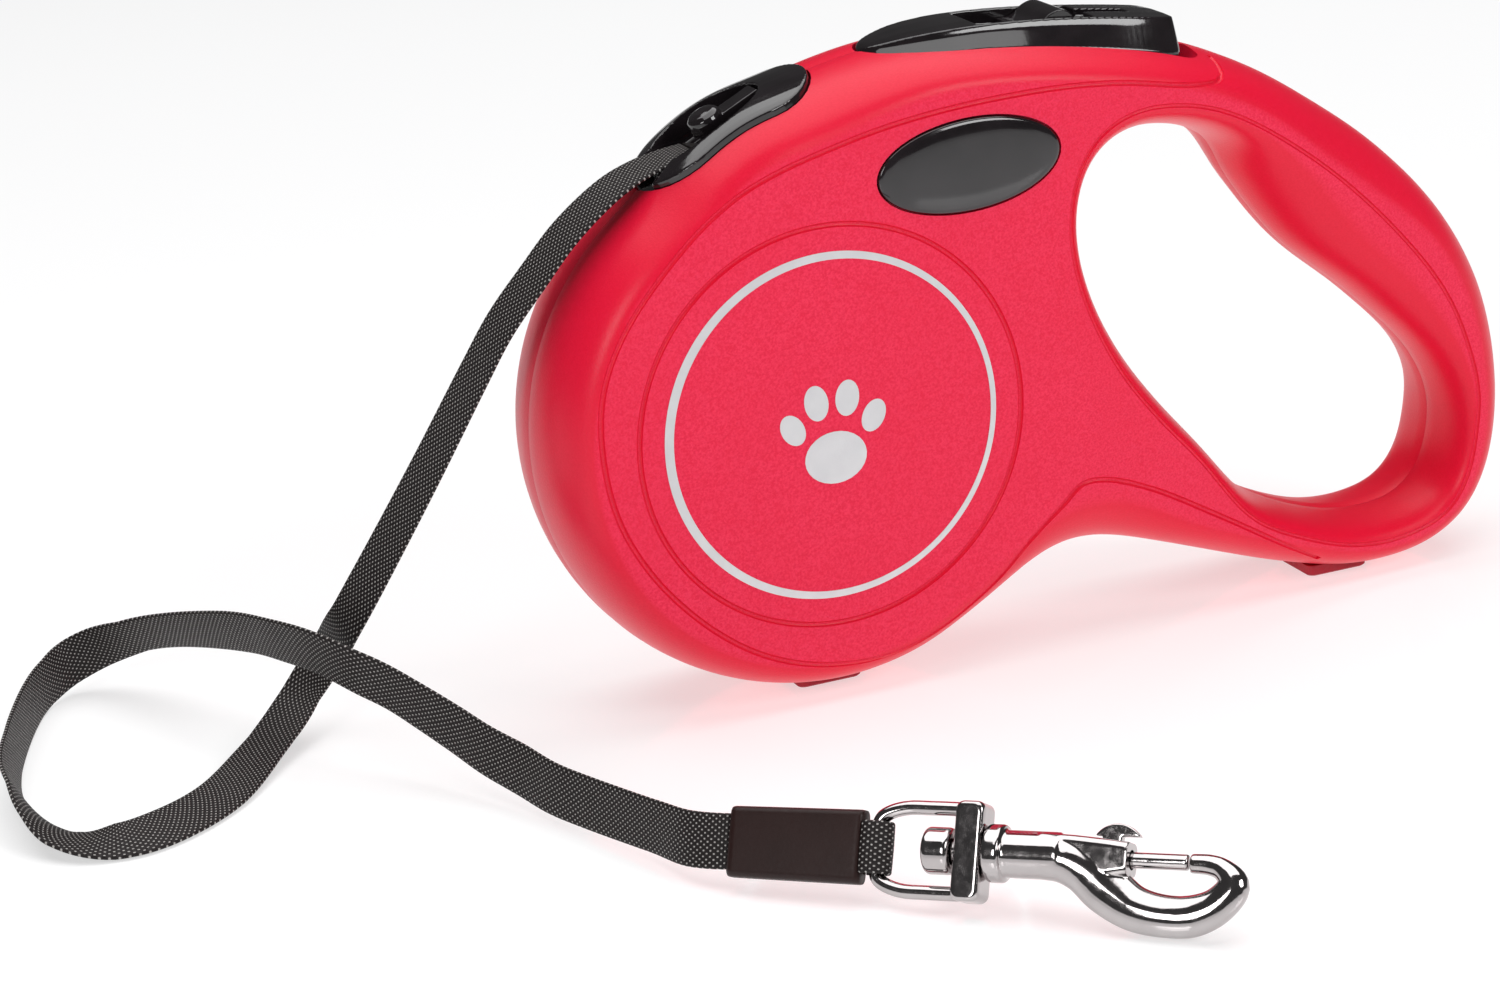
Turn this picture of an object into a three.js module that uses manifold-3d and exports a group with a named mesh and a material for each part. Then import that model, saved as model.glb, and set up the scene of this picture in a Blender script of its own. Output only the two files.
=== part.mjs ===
// Retractable tape leash: two moulded half shells round a sprung tape reel, a hand hole with a
// grip, a brake button with a lock slider on top, and a snap hook on the end of the tape.
// Millimetres, +Z up. The leash stands on its two feet; X runs from the tape outlet (-X) to the
// grip (+X), and the shells part on the plane Y = 0.
import * as THREE from 'three';
import { mergeVertices } from 'three/addons/utils/BufferGeometryUtils.js';
import Module from 'manifold-3d';

const wasm = await Module();
wasm.setup();

// ---- driving dimensions ----------------------------------------------------------------------
const GAP = 0.3;                 // clearance between touching pieces
const HALF = 15.5;               // half thickness of the housing over the reel
const TAPER_FROM = 12;           // X where the housing starts to thin towards the grip
const TAPER = 0.0625;            // thinning per mm of X on each side
const WALL = 2.2;                // shell wall
const RIM = 6.4;                 // width of the rounded rim, seen from the side
const DRUM = { x: -39.5, z: 45.5, r: 44.9 };
const AXLE_R = 4;
const HUB_R = 11;
const FLANGE_R = 38.5;
const TOOTH_DEPTH = 2.5;
const TEETH = 24;
const REEL_HALF = 6.6;           // half width over the reel's flanges
const FLANGE_T = 1.1;
const PACK_R = 35.6;             // outside of the wound tape
const CUP = { r: 28.4, wall: 1.4, end: 12 };
const TAPE = { width: 8, thick: 0.8 };
const NOSE = { x: -49, z: 94.6, tilt: 26, half: 9.8, front: -16.8, back: 15.3, deep: 8, proud: 0.8 };
const BUTTON_PIN = { x: -20, z: 95.3, r: 1.2 };
const PAWL_PIN = { x: -18.3, z: 82.4, r: 1.2 };
const PAWL_ANGLE = 38;           // where the pawl meets the ratchet, degrees above +X
const SCREWS = [[-2.5, 24], [55, 69.5], [74.6, 44], [1, 82.5]];
const BOSS_R = 3.8;
const SCREW_R = 1.3;
const HEAD = { r: 2.5, t: 1.8, sunk: 3 };
const BADGE = { x: -13.7, z: 82.9, a: 15.4, b: 7.2, sunk: 1, proud: 0.9 };
const FEET = [DRUM.x, 53];
const FOOT = { long: 11, wide: 12, t: 1.8 };
// The end fittings lie along one line: from a point in the sleeve, along ALONG, leaning up.
const END = new THREE.Vector3(-74.9, -80.3, 7.2);
const ALONG = new THREE.Vector3(0.715, -0.7, 0.045).normalize();
const LEAN = 60;                 // degrees that the fittings stand up from the floor
const SLEEVE = { from: -10.7, to: 9.5, wide: 10.4, thick: 3.4 };

const RED = new THREE.Color(0.85, 0.07, 0.12);
const BLACK = new THREE.Color(0.012, 0.011, 0.012);
const WEB = new THREE.Color(0.03, 0.028, 0.028);
const BROWN = new THREE.Color(0.045, 0.022, 0.02);
const STEEL = new THREE.Color(0.75, 0.75, 0.76);
const NYLON = new THREE.Color(0.75, 0.74, 0.7);

// ---- helpers ---------------------------------------------------------------------------------
const rad = THREE.MathUtils.degToRad;
const V2 = (x, y) => new THREE.Vector2(x, y);
const V3 = (x, y, z) => new THREE.Vector3(x, y, z);

// A closed three.js geometry as a manifold solid.
function solid(geometry) {
  const plain = geometry.index ? geometry.toNonIndexed() : geometry.clone();
  plain.deleteAttribute('normal');
  plain.deleteAttribute('uv');
  const merged = mergeVertices(plain, 1e-4);
  return new wasm.Manifold(new wasm.Mesh({
    numProp: 3,
    vertProperties: new Float32Array(merged.attributes.position.array),
    triVerts: new Uint32Array(merged.index.array),
  }));
}

function geometryOf(manifold) {
  const mesh = manifold.getMesh();
  const geometry = new THREE.BufferGeometry();
  geometry.setAttribute('position', new THREE.BufferAttribute(mesh.vertProperties, 3));
  geometry.setIndex(new THREE.BufferAttribute(mesh.triVerts, 1));
  geometry.computeVertexNormals();
  return geometry;
}

// Skins rings of equal count into one closed body; each end is closed by a flat or gentle cap.
function loft(rings, flatten = (p) => V2(p.x, p.z)) {
  const count = rings[0].length;
  const index = [];
  for (let k = 0; k + 1 < rings.length; k++) {
    for (let i = 0; i < count; i++) {
      const j = (i + 1) % count;
      const [a, b, c, d] = [k * count + i, k * count + j, (k + 1) * count + j, (k + 1) * count + i];
      index.push(a, b, c, a, c, d);
    }
  }
  const cap = THREE.ShapeUtils.triangulateShape(rings[0].map(flatten), []);
  const area = THREE.ShapeUtils.area(rings[0].map(flatten));
  const last = (rings.length - 1) * count;
  for (const [a, b, c] of cap) {
    const turned = orientation(rings[0].map(flatten), a, b, c) * area > 0;
    const [p, q] = turned ? [b, c] : [c, b];
    index.push(a, q, p);
    index.push(last + a, last + p, last + q);
  }
  const geometry = new THREE.BufferGeometry();
  geometry.setAttribute('position', new THREE.Float32BufferAttribute(
    rings.flat().flatMap((p) => [p.x, p.y, p.z]), 3));
  geometry.setIndex(index);
  return facesOut(geometry);
}

function orientation(points, a, b, c) {
  return THREE.ShapeUtils.area([points[a], points[b], points[c]]);
}

// Turns every face over if the enclosed volume comes out negative.
function facesOut(geometry) {
  const position = geometry.attributes.position;
  const index = geometry.index.array;
  const [a, b, c] = [V3(), V3(), V3()];
  let volume = 0;
  for (let i = 0; i < index.length; i += 3) {
    a.fromBufferAttribute(position, index[i]);
    b.fromBufferAttribute(position, index[i + 1]);
    c.fromBufferAttribute(position, index[i + 2]);
    volume += a.dot(b.cross(c));
  }
  if (volume < 0) {
    for (let i = 0; i < index.length; i += 3) [index[i], index[i + 1]] = [index[i + 1], index[i]];
  }
  return geometry;
}

// Extrudes an outline drawn in X and Z through Y, from y0 to y1.
function prism(points, y0, y1) {
  const shape = new THREE.Shape(points.map((p) => V2(p.x, p.y)));
  const geometry = new THREE.ExtrudeGeometry(shape, { depth: y1 - y0, bevelEnabled: false });
  geometry.rotateX(Math.PI / 2);
  return geometry.translate(0, y1, 0);
}

const prismOf = (pairs, y0, y1) => solid(prism(pairs.map(([x, z]) => V2(x, z)), y0, y1));

// A round piece about the Y direction through (x, z); its profile is radius against Y.
function turned(profile, x, z, segments = 24) {
  const lathe = new THREE.LatheGeometry(profile.map(([r, y]) => V2(r, y)), segments);
  return facesOut(lathe.translate(x, 0, z));
}

function rod(r, y0, y1, x, z, segments = 16) {
  return turned([[0, y0], [r, y0], [r, y1], [0, y1]], x, z, segments);
}

function box(x0, x1, y0, y1, z0, z1) {
  const geometry = new THREE.BoxGeometry(x1 - x0, y1 - y0, z1 - z0);
  return geometry.translate((x0 + x1) / 2, (y0 + y1) / 2, (z0 + z1) / 2);
}

// Points of a stadium (a strip with round ends) from x0 to x1, half its width h.
function stadium(x0, x1, h, steps = 9) {
  const shape = new THREE.Shape();
  shape.absarc(x1 - h, 0, h, -Math.PI / 2, Math.PI / 2, false);
  shape.absarc(x0 + h, 0, h, Math.PI / 2, 1.5 * Math.PI, false);
  const points = shape.getPoints(steps);
  if (points[0].distanceTo(points[points.length - 1]) < 1e-6) points.pop();
  return points;
}

function mesh(name, shape, color, roughness, metalness = 0) {
  const geometry = shape.isBufferGeometry ? shape : geometryOf(shape);
  const made = new THREE.Mesh(geometry, new THREE.MeshStandardMaterial({ color, roughness, metalness }));
  made.name = name;
  return made;
}

// ---- housing ---------------------------------------------------------------------------------
const halfAt = (x) => HALF - TAPER * Math.max(0, x - TAPER_FROM);

// The outline of the housing on its parting plane, in X and Z: the reel's round, then the top,
// the grip and the neck.
function housingOutline(count) {
  const points = [];
  for (let angle = -58; angle >= -232; angle -= 12) {
    points.push(V3(DRUM.x + DRUM.r * Math.cos(rad(angle)), DRUM.z + DRUM.r * Math.sin(rad(angle)), 0));
  }
  const rest = [[-62.3, 84.6], [-57.7, 89.1], [-48.3, 94.9], [-38.6, 97.3], [-29, 99.5], [-19, 100.8],
    [-9, 100.6], [2, 99.4], [13, 97.5], [24, 95], [34, 91.6], [44, 86.5], [53, 80.4], [63.3, 72.4],
    [74.3, 60.5], [81.4, 47.4], [84.2, 35.6], [84.4, 23.9], [82.1, 13.6], [77.3, 6.2], [70, 2],
    [62.5, 0.6], [53, 0.7], [40.9, 3.8], [31.1, 7.3], [21.1, 11], [11, 14.2], [3.8, 14.9], [-3, 13.3],
    [-9.2, 10.6]];
  rest.forEach(([x, z]) => points.push(V3(x, z, 0)));
  const curve = new THREE.CatmullRomCurve3(points, true, 'centripetal');
  return curve.getSpacedPoints(count).slice(0, count).map((p) => V2(p.x, p.y));
}

// The rim is wider over the outlet, over the top of the grip and under the neck, and narrower
// where the hand hole runs close to it.
const RIM_BUMPS = [[-42, 96, 2.2, 20], [60, 74, 3, 18], [4, 14, 5.8, 12], [64, 4, -1.7, 18],
  [82, 22, -0.6, 14]];
function rimAt(p) {
  return RIM_BUMPS.reduce((sum, [x, z, extra, reach]) => {
    const near = ((p.x - x) ** 2 + (p.y - z) ** 2) / reach ** 2;
    return sum + extra * Math.exp(-near);
  }, RIM);
}

// The hand hole: each row is [x, z] of its edge on the side face, then of its waist on the
// parting plane, clockwise from the top.
const HOLE = [
  [22.7, 86.4, 20.5, 81.8], [30.4, 84.3, 27.5, 80.4], [38.2, 80.1, 33.6, 77.2], [51.1, 70.3, 38.2, 69],
  [63.6, 57.5, 47, 57.2], [71.9, 46.1, 59.6, 46], [76.2, 35.3, 70, 34.9], [77.6, 28, 73.6, 27.3],
  [77.1, 22.2, 73.9, 21.5], [74.8, 13.6, 71.6, 14], [70.5, 8.5, 67.5, 10.3], [62, 6.2, 61.5, 9],
  [53, 6.6, 54, 9.6], [43, 10, 44.6, 12.9], [33.4, 15.4, 36, 17.9], [23.6, 27.9, 26.7, 29],
  [16, 36.9, 19.1, 38.5], [10.1, 45.4, 13.1, 47.5], [5.3, 55.9, 8.6, 57], [3.1, 65, 6.6, 65.6],
  [3.1, 72.2, 6.9, 72.6], [5.1, 79.1, 9.2, 77.6], [9.3, 84.1, 12.6, 80.3], [15.6, 86.6, 16.3, 81.6],
];
function holeOutline(column, count) {
  const points = HOLE.map((row) => V3(row[column], row[column + 1], 0));
  const curve = new THREE.CatmullRomCurve3(points, true, 'centripetal');
  const outline = [];
  for (let i = 0; i < count; i++) outline.push(curve.getPoint(i / count));
  return outline.map((p) => V2(p.x, p.y));
}

// Moves each point of a clockwise outline inwards (or outwards, for a negative distance).
function inset(outline, distance) {
  return outline.map((p, i) => {
    const before = outline[(i + outline.length - 1) % outline.length];
    const after = outline[(i + 1) % outline.length];
    const along = after.clone().sub(before).normalize();
    const d = typeof distance === 'function' ? distance(p) : distance;
    return V2(p.x + along.y * d, p.y - along.x * d);
  });
}

const round = (u) => 1 - Math.sqrt(Math.max(0, 1 - u * u));
const levels = (angles) => [...angles.map((a) => -Math.sin(rad(a))), 0,
  ...angles.slice().reverse().map((a) => Math.sin(rad(a)))];

// The whole housing as one solid body, shrunk all over by a skin (grown, where it is negative).
function housing(skin, count, angles) {
  const outline = inset(housingOutline(count), skin);
  const rings = levels(angles).map((u) => {
    const ring = inset(outline, (p) => rimAt(p) * round(u));
    return ring.map((p) => V3(p.x, u * (HALF - skin), p.y));
  });
  return solid(loft(rings));
}

// Thins the part beyond TAPER_FROM, whose side faces stay flat but close in towards the grip's end.
function tapered(manifold) {
  const grip = geometryOf(manifold.intersect(solid(box(TAPER_FROM, 200, -40, 40, -50, 200))));
  const position = grip.attributes.position;
  for (let i = 0; i < position.count; i++) {
    position.setY(i, position.getY(i) * halfAt(position.getX(i)) / HALF);
  }
  return manifold.intersect(solid(box(-200, TAPER_FROM, -40, 40, -50, 200))).add(solid(grip));
}

// The hole's own volume, grown all over by a skin, and long enough to pass both faces.
function handHole(skin, count, angles) {
  const face = inset(holeOutline(0, count), -skin);
  const waist = inset(holeOutline(2, count), -skin);
  const rings = levels(angles).map((u) => face.map((p, i) => {
    const at = waist[i].clone().lerp(p, round(u));
    return V3(at.x, u * (HALF - Math.max(0, skin)), at.y);
  }));
  const ends = [-1, 1].map((side) => face.map((p) => V3(p.x, side * (HALF + 4), p.y)));
  return solid(loft([ends[0], ...rings, ends[1]]));
}

const body = tapered(housing(0, 72, [90, 62, 34]).subtract(handHole(0, 44, [90, 50])));
const cavity = tapered(housing(WALL, 52, [90, 50]).subtract(handHole(WALL, 34, [90, 40])));

// The outlet nose and its pocket: a stadium standing on the rim, extruded along the rim's normal.
const noseFrame = new THREE.Matrix4().makeRotationY(-rad(NOSE.tilt)).setPosition(NOSE.x, 0, NOSE.z);
function onNose(points, n0, n1) {
  const shape = new THREE.Shape(points);
  const geometry = new THREE.ExtrudeGeometry(shape, { depth: n1 - n0, bevelEnabled: false });
  return geometry.translate(0, 0, n0).applyMatrix4(noseFrame);
}

function nose() {
  const skinned = housing(-NOSE.proud, 72, [90, 62, 34]);
  const plug = solid(onNose(stadium(NOSE.front, NOSE.back, NOSE.half), -NOSE.deep, 8));
  const pocket = solid(onNose(stadium(-13.5, 7.5, 6.8), -4.5, 9));
  const gate = TAPE.width / 2 + 0.6;
  const across = (x0, x1) => [V2(x0, -gate), V2(x1, -gate), V2(x1, gate), V2(x0, gate)];
  const channel = solid(onNose(across(-25, -6), -4, 9));
  const slot = solid(onNose(across(-7.5, 0.5), -12, 0));
  return plug.intersect(skinned).subtract(pocket).subtract(channel).subtract(slot);
}

function nosePocket() {
  const grown = stadium(NOSE.front - GAP, NOSE.back + GAP, NOSE.half + GAP);
  return solid(onNose(grown, -NOSE.deep - GAP, 12));
}

// A round-headed bar in the nose's recess keeps the tape down on the lip.
function guideStud() {
  const bar = solid(onNose([V2(-2.2, -1.9), V2(6.9, -1.9), V2(6.9, 1.9), V2(-2.2, 1.9)], -2.1, -0.7));
  const foot = solid(onNose([V2(1.2, -1.9), V2(6.9, -1.9), V2(6.9, 1.9), V2(1.2, 1.9)], -4.2, -1));
  const head = new THREE.CylinderGeometry(2.8, 3.3, 1.8, 16).rotateX(Math.PI / 2).translate(-2.2, 0, -1.3);
  return bar.add(foot).add(solid(head.applyMatrix4(noseFrame)));
}

// The brake button, from its tip in front: x, its top, the shoulder where its side turns upright,
// its underside, and its half width below the shoulder.
const BUTTON = [
  [-24.7, 100, 99.7, 98.6, 0.5], [-24.2, 100.4, 99.6, 97, 2.1], [-22.5, 101, 99.5, 93.4, 4.6],
  [-18, 101.8, 99.5, 93.4, 7.2], [-12.5, 102.2, 99.3, 93.5, 8.6], [-6, 102.2, 98.9, 93.6, 9],
  [3.6, 101.6, 97.6, 93.6, 9], [14, 100.4, 95.8, 93.3, 9], [24, 98.9, 93.7, 92.7, 9],
  [26.4, 98.5, 93.3, 92.5, 8.4], [27.3, 98.3, 93.2, 92.4, 7.5], [27.6, 98.2, 93.2, 92.4, 6.6],
];
const BUTTON_TOP_WIDTH = 0.7;    // of the width below
const BUTTON_POCKET = [[-25.3, 104], [-25.3, 97.6], [-24.9, 92.8], [-8, 92], [10, 90.8], [28.2, 88.5],
  [30.2, 90.4], [31, 93], [31, 104]];
const DECK = { x0: -6.5, ramp: -3, x1: 13.5, half: 5.6, tail: 21.5 };
const deckFloor = (x) => 99.33 - 0.091 * x;

// Plan view of the button's pocket: the button's own outline and a clearance, with a bowl behind.
function pocketPlan(grow) {
  const side = BUTTON.slice(0, 9).map(([x, , , , half]) => V2(x - grow, -half - grow));
  const back = [0, 22.5, 45, 67.5, 90].map((a) => V2(27 + 4 * Math.sin(rad(a)), -9 - grow + 4 * (1 - Math.cos(rad(a)))));
  const near = [...side, ...back];
  const shape = new THREE.Shape([...near, ...near.slice().reverse().map((p) => V2(p.x, -p.y))]);
  const geometry = new THREE.ExtrudeGeometry(shape, { depth: 60, bevelEnabled: false });
  return solid(geometry.translate(0, 0, 60));
}

function brakeButton() {
  const rings = BUTTON.map(([x, top, shoulder, base, half]) => {
    const upper = half * BUTTON_TOP_WIDTH;
    const near = [V3(x, -half, base), V3(x, -half, shoulder), V3(x, -upper - 0.06 * half, top - 0.12 * half),
      V3(x, -upper, top)];
    return [...near, ...near.slice().reverse().map((p) => V3(x, -p.y, p.z))];
  });
  const block = solid(loft(rings, (p) => V2(p.y, p.z)));
  const deck = prismOf([[DECK.x0, 110], [DECK.x0, 101.9], [DECK.ramp, deckFloor(DECK.ramp)],
    [DECK.x1, deckFloor(DECK.x1)], [DECK.x1, 110]], -DECK.half, DECK.half);
  const tail = prismOf([[DECK.x1 - 0.5, 110], [DECK.x1 - 0.5, 99.3], [DECK.tail, 98.1], [DECK.tail, 110]],
    -1.6, 1.6);
  const post = solid(box(-7.5, -4.5, -7.8, -5, 74.5, 95));
  return block.subtract(deck).subtract(tail)
    .subtract(solid(rod(BUTTON_PIN.r + GAP, -20, 20, BUTTON_PIN.x, BUTTON_PIN.z)))
    .add(post);
}

// The lock slider: a plate on the deck with a thumb hump; it slides forwards to lock.
function lockSlider() {
  const base = (x) => deckFloor(x) + GAP;
  const skin = (x) => deckFloor(x) + 1.1;
  const outline = new THREE.Shape();
  outline.moveTo(1.5, base(1.5));
  outline.lineTo(1.5, skin(1.5));
  outline.lineTo(3.2, skin(3.2));
  outline.bezierCurveTo(5, 100.4, 5.4, 102.3, 7.9, 102.3);
  outline.bezierCurveTo(10, 102.3, 10.3, 100, 11.8, skin(11.8));
  outline.lineTo(13.2, skin(13.2));
  outline.lineTo(13.2, base(13.2));
  return solid(prism(outline.getPoints(5), -5.2, 5.2));
}

function buttonSpring() {
  const t = 0.5;
  return prismOf([[-2.6, 87.2], [7.5, 87.2], [8, 90], [7.4, 92.9], [-1.5, 93], [-1.5, 93 - t],
    [6.9, 92.9 - t], [7.3, 90], [7, 87.2 + t], [-2.6, 87.2 + t]], -3, 3);
}

// What both shells are cut by: the pockets of the nose, button, feet, badges and pins.
function shellCuts() {
  const footCut = (x) => solid(box(x - FOOT.long / 2 - GAP, x + FOOT.long / 2 + GAP,
    -FOOT.wide / 2 - GAP, FOOT.wide / 2 + GAP, -2, FOOT.t + GAP));
  const badgeCut = (side) => badgeSolid(side, GAP, 8);
  const button = prismOf(BUTTON_POCKET, -12, 12).intersect(pocketPlan(GAP));
  const pin = solid(rod(BUTTON_PIN.r + 0.05, -10.8, 10.8, BUTTON_PIN.x, BUTTON_PIN.z));
  const parts = [nosePocket(), button, pin, badgeCut(-1), badgeCut(1), ...FEET.map(footCut)];
  return parts.reduce((sum, part) => sum.add(part));
}

// An oval plate on a side face, its base sunk into the face.
function badgeSolid(side, grow, out) {
  const shape = new THREE.Shape();
  shape.absellipse(BADGE.x, BADGE.z, BADGE.a + grow, BADGE.b + grow, 0, 2 * Math.PI, false, rad(2));
  const points = shape.getPoints(16);
  points.pop();
  const base = HALF - BADGE.sunk + GAP - grow;
  const [y0, y1] = side < 0 ? [-HALF - out, -base] : [base, HALF + out];
  return solid(prism(points, y0, y1));
}

function badge(side) {
  const rise = 1.75;
  const dome = new THREE.SphereGeometry(1, 28, 20).scale(BADGE.a * 1.25, rise, BADGE.b * 1.25);
  dome.rotateY(rad(-2)).translate(BADGE.x, side * (HALF + BADGE.proud - rise), BADGE.z);
  return badgeSolid(side, 0, 3).intersect(solid(dome));
}

const annulus = (r0, r1, y0, y1, x, z, n = 20) =>
  turned([[r0, y0], [r1, y0], [r1, y1], [r0, y1], [r0, y0]], x, z, n);

// Screw bosses, axle sockets and the pawl's post, which stand on a shell's inner face.
function bosses(side) {
  const [near, far] = side < 0 ? [-HALF, -GAP / 2] : [GAP / 2, HALF];
  const parts = SCREWS.map(([x, z]) => solid(rod(BOSS_R, near, far, x, z)));
  const socket = side < 0 ? [-HALF + 0.5, -7.2] : [10.4, HALF - 0.5];
  parts.push(solid(rod(AXLE_R + 2.2, ...socket, DRUM.x, DRUM.z, 24)));
  if (side < 0) parts.push(solid(rod(3, -HALF + 0.5, -8.4, PAWL_PIN.x, PAWL_PIN.z)));
  return parts.reduce((sum, part) => sum.add(part)).intersect(body);
}

function bores(side) {
  const parts = SCREWS.map(([x, z]) => {
    const face = halfAt(x);
    const hole = solid(rod(SCREW_R + GAP, side < 0 ? -face + 3 : -1, face + 2, x, z, 12));
    return side < 0 ? hole : hole.add(solid(rod(HEAD.r + GAP, face - HEAD.sunk - HEAD.t - GAP, 20, x, z)));
  });
  const inner = HALF - WALL;
  parts.push(solid(rod(AXLE_R + GAP, side < 0 ? -inner : 5, side < 0 ? -5 : inner, DRUM.x, DRUM.z, 24)));
  if (side < 0) parts.push(solid(rod(PAWL_PIN.r + 0.05, -13, -5, PAWL_PIN.x, PAWL_PIN.z)));
  return parts.reduce((sum, part) => sum.add(part));
}

function shell(side) {
  const half = side < 0 ? box(-200, 200, -40, -GAP / 2, -50, 200) : box(-200, 200, GAP / 2, 40, -50, 200);
  const hollow = body.subtract(cavity).add(bosses(side)).subtract(bores(side)).subtract(shellCuts());
  return largest(hollow.intersect(solid(half)));
}

// Drops crumbs that cuts may leave beside the main body.
function largest(manifold) {
  const pieces = manifold.decompose();
  return pieces.sort((a, b) => b.volume() - a.volume())[0];
}

const caseScrew = ([x, z]) => {
  const top = halfAt(x) - HEAD.sunk;
  return turned([[0, top - 1.1], [1, top - 1.1], [1, top], [HEAD.r, top], [HEAD.r, top - HEAD.t],
    [SCREW_R, top - HEAD.t], [SCREW_R, 4 - halfAt(x)], [0, 3.2 - halfAt(x)]], x, z, 12);
};

// ---- reel ------------------------------------------------------------------------------------
function ratchetRing() {
  const shape = new THREE.Shape();
  const pitch = 2 * Math.PI / TEETH;
  const start = rad(PAWL_ANGLE) - pitch / 2;
  for (let k = 0; k < TEETH; k++) {
    const at = start + k * pitch;
    [[0, FLANGE_R - TOOTH_DEPTH], [0.1, FLANGE_R], [0.32, FLANGE_R], [0.42, FLANGE_R - TOOTH_DEPTH]]
      .forEach(([t, r], i) => {
        const angle = at + (t - 0.21) * pitch;
        const p = [r * Math.cos(angle), r * Math.sin(angle)];
        if (k + i === 0) shape.moveTo(...p);
        else shape.lineTo(...p);
      });
  }
  const geometry = prism(shape.getPoints(), -REEL_HALF, -REEL_HALF + FLANGE_T);
  return solid(geometry.translate(DRUM.x, 0, DRUM.z)).subtract(
    solid(rod(20, -10, 0, DRUM.x, DRUM.z)));
}

function spool() {
  const bore = AXLE_R + GAP;
  const inside = REEL_HALF - FLANGE_T;
  const root = FLANGE_R - TOOTH_DEPTH - 0.2;
  const profile = [[bore, -REEL_HALF], [root, -REEL_HALF], [root, -inside], [HUB_R, -inside],
    [HUB_R, inside], [FLANGE_R, inside], [FLANGE_R, REEL_HALF], [CUP.r, REEL_HALF], [CUP.r, CUP.end],
    [CUP.r - CUP.wall, CUP.end], [CUP.r - CUP.wall, REEL_HALF], [bore, REEL_HALF], [bore, -REEL_HALF]];
  return solid(turned(profile, DRUM.x, DRUM.z, 36)).add(ratchetRing());
}

// The power spring: a spiral strip from the axle's socket out to the cup.
function powerSpring() {
  const [turns, steps, r0, r1, t] = [5, 12, 7.2, 26, 0.8];
  const shape = new THREE.Shape();
  const total = turns * steps;
  const at = (i, extra) => {
    const r = r0 + (r1 - r0) * (i / total) + extra;
    const angle = 2 * Math.PI * i / steps;
    return [r * Math.cos(angle), r * Math.sin(angle)];
  };
  shape.moveTo(...at(0, 0));
  for (let i = 1; i <= total; i++) shape.lineTo(...at(i, 0));
  for (let i = total; i >= 0; i--) shape.lineTo(...at(i, t));
  return prism(shape.getPoints(), REEL_HALF + 0.6, CUP.end - 0.4).translate(DRUM.x, 0, DRUM.z);
}

// The pawl: a ring on its pin, an arm along the flange and a nose that drops between two teeth.
function pawl() {
  const angle = rad(PAWL_ANGLE);
  const radial = V2(Math.cos(angle), Math.sin(angle));
  const centre = V2(DRUM.x, DRUM.z);
  const tip = centre.clone().addScaledVector(radial, 41.9);
  const hub = V2(PAWL_PIN.x, PAWL_PIN.z);
  const along = tip.clone().sub(hub).normalize();
  const out = V2(-along.y, along.x);
  const corner = (base, l, o) => base.clone().addScaledVector(along, l).addScaledVector(out, o);
  const arm = [corner(hub, 0, -1.2), corner(tip, 0.8, -1.2), corner(tip, 0.8, 1.3), corner(hub, 0, 1.3)];
  const point = centre.clone().addScaledVector(radial, FLANGE_R + 0.5);
  const nosePoints = [corner(tip, -2.2, 0), point.clone().addScaledVector(along, -0.5),
    point.clone().addScaledVector(along, 0.6), corner(tip, 0.8, 0)];
  return solid(prism(arm, -8, -5)).add(solid(prism(nosePoints, -8, -5)))
    .add(solid(rod(2.9, -8, -5, hub.x, hub.y)))
    .subtract(solid(rod(PAWL_PIN.r + GAP, -10, 0, hub.x, hub.y)));
}

// ---- tape ------------------------------------------------------------------------------------
// The route of the free tape's middle line, from the nose's lip over the floor to the sleeve.
const ROUTE = [
  [-53.8, 0, 88.8], [-57.4, 0, 88.3], [-62.3, -0.4, 87.2], [-67.7, -1.4, 85.2], [-75.3, -1.8, 79.9],
  [-81.3, -1.4, 73.5], [-86.7, 0, 66.7], [-90.9, 2, 59.3], [-98.7, 6, 44.8], [-106.8, 9.8, 30.5],
  [-113.3, 12.3, 19.8], [-115.2, 19.3, 12.6], [-118.7, 20.9, 7.4], [-123.3, 17.7, 4],
  [-129.4, 11, 2.2], [-139.7, -2.4, 1.7], [-149.3, -9.7, 1.9], [-155.7, -11.7, 1.9],
  [-161, -10.2, 1.8], [-165, -6.3, 2.2], [-167.1, -0.3, 3.3], [-167.8, 6.3, 4], [-167.6, 16.1, 4.2],
  [-164.7, 28.2, 4.2], [-157.5, 47.7, 4.2], [-153.2, 55.6, 4.4], [-148.5, 60, 5.4],
  [-143.7, 58.7, 7.6], [-138.4, 52.4, 10.6], [-134, 45, 12.9], [-126.6, 26.6, 16.8],
  [-123.3, 15.9, 18], [-120, 6.6, 18.3], [-116.5, -0.3, 17], [-112, -4.8, 14.5], [-108.4, -9.8, 12],
  [-105.1, -15.2, 9.6], [-102.3, -21.5, 7.6], [-99.3, -28.4, 6.2], [-97.1, -36.2, 5.4],
  [-94.3, -43.6, 5.1], [-89.1, -59.4, 5.6], [-87.2, -66.8, 6.2], [-85.04, -70.38, 6.56], [-82.75, -72.61, 6.71],
];

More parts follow.
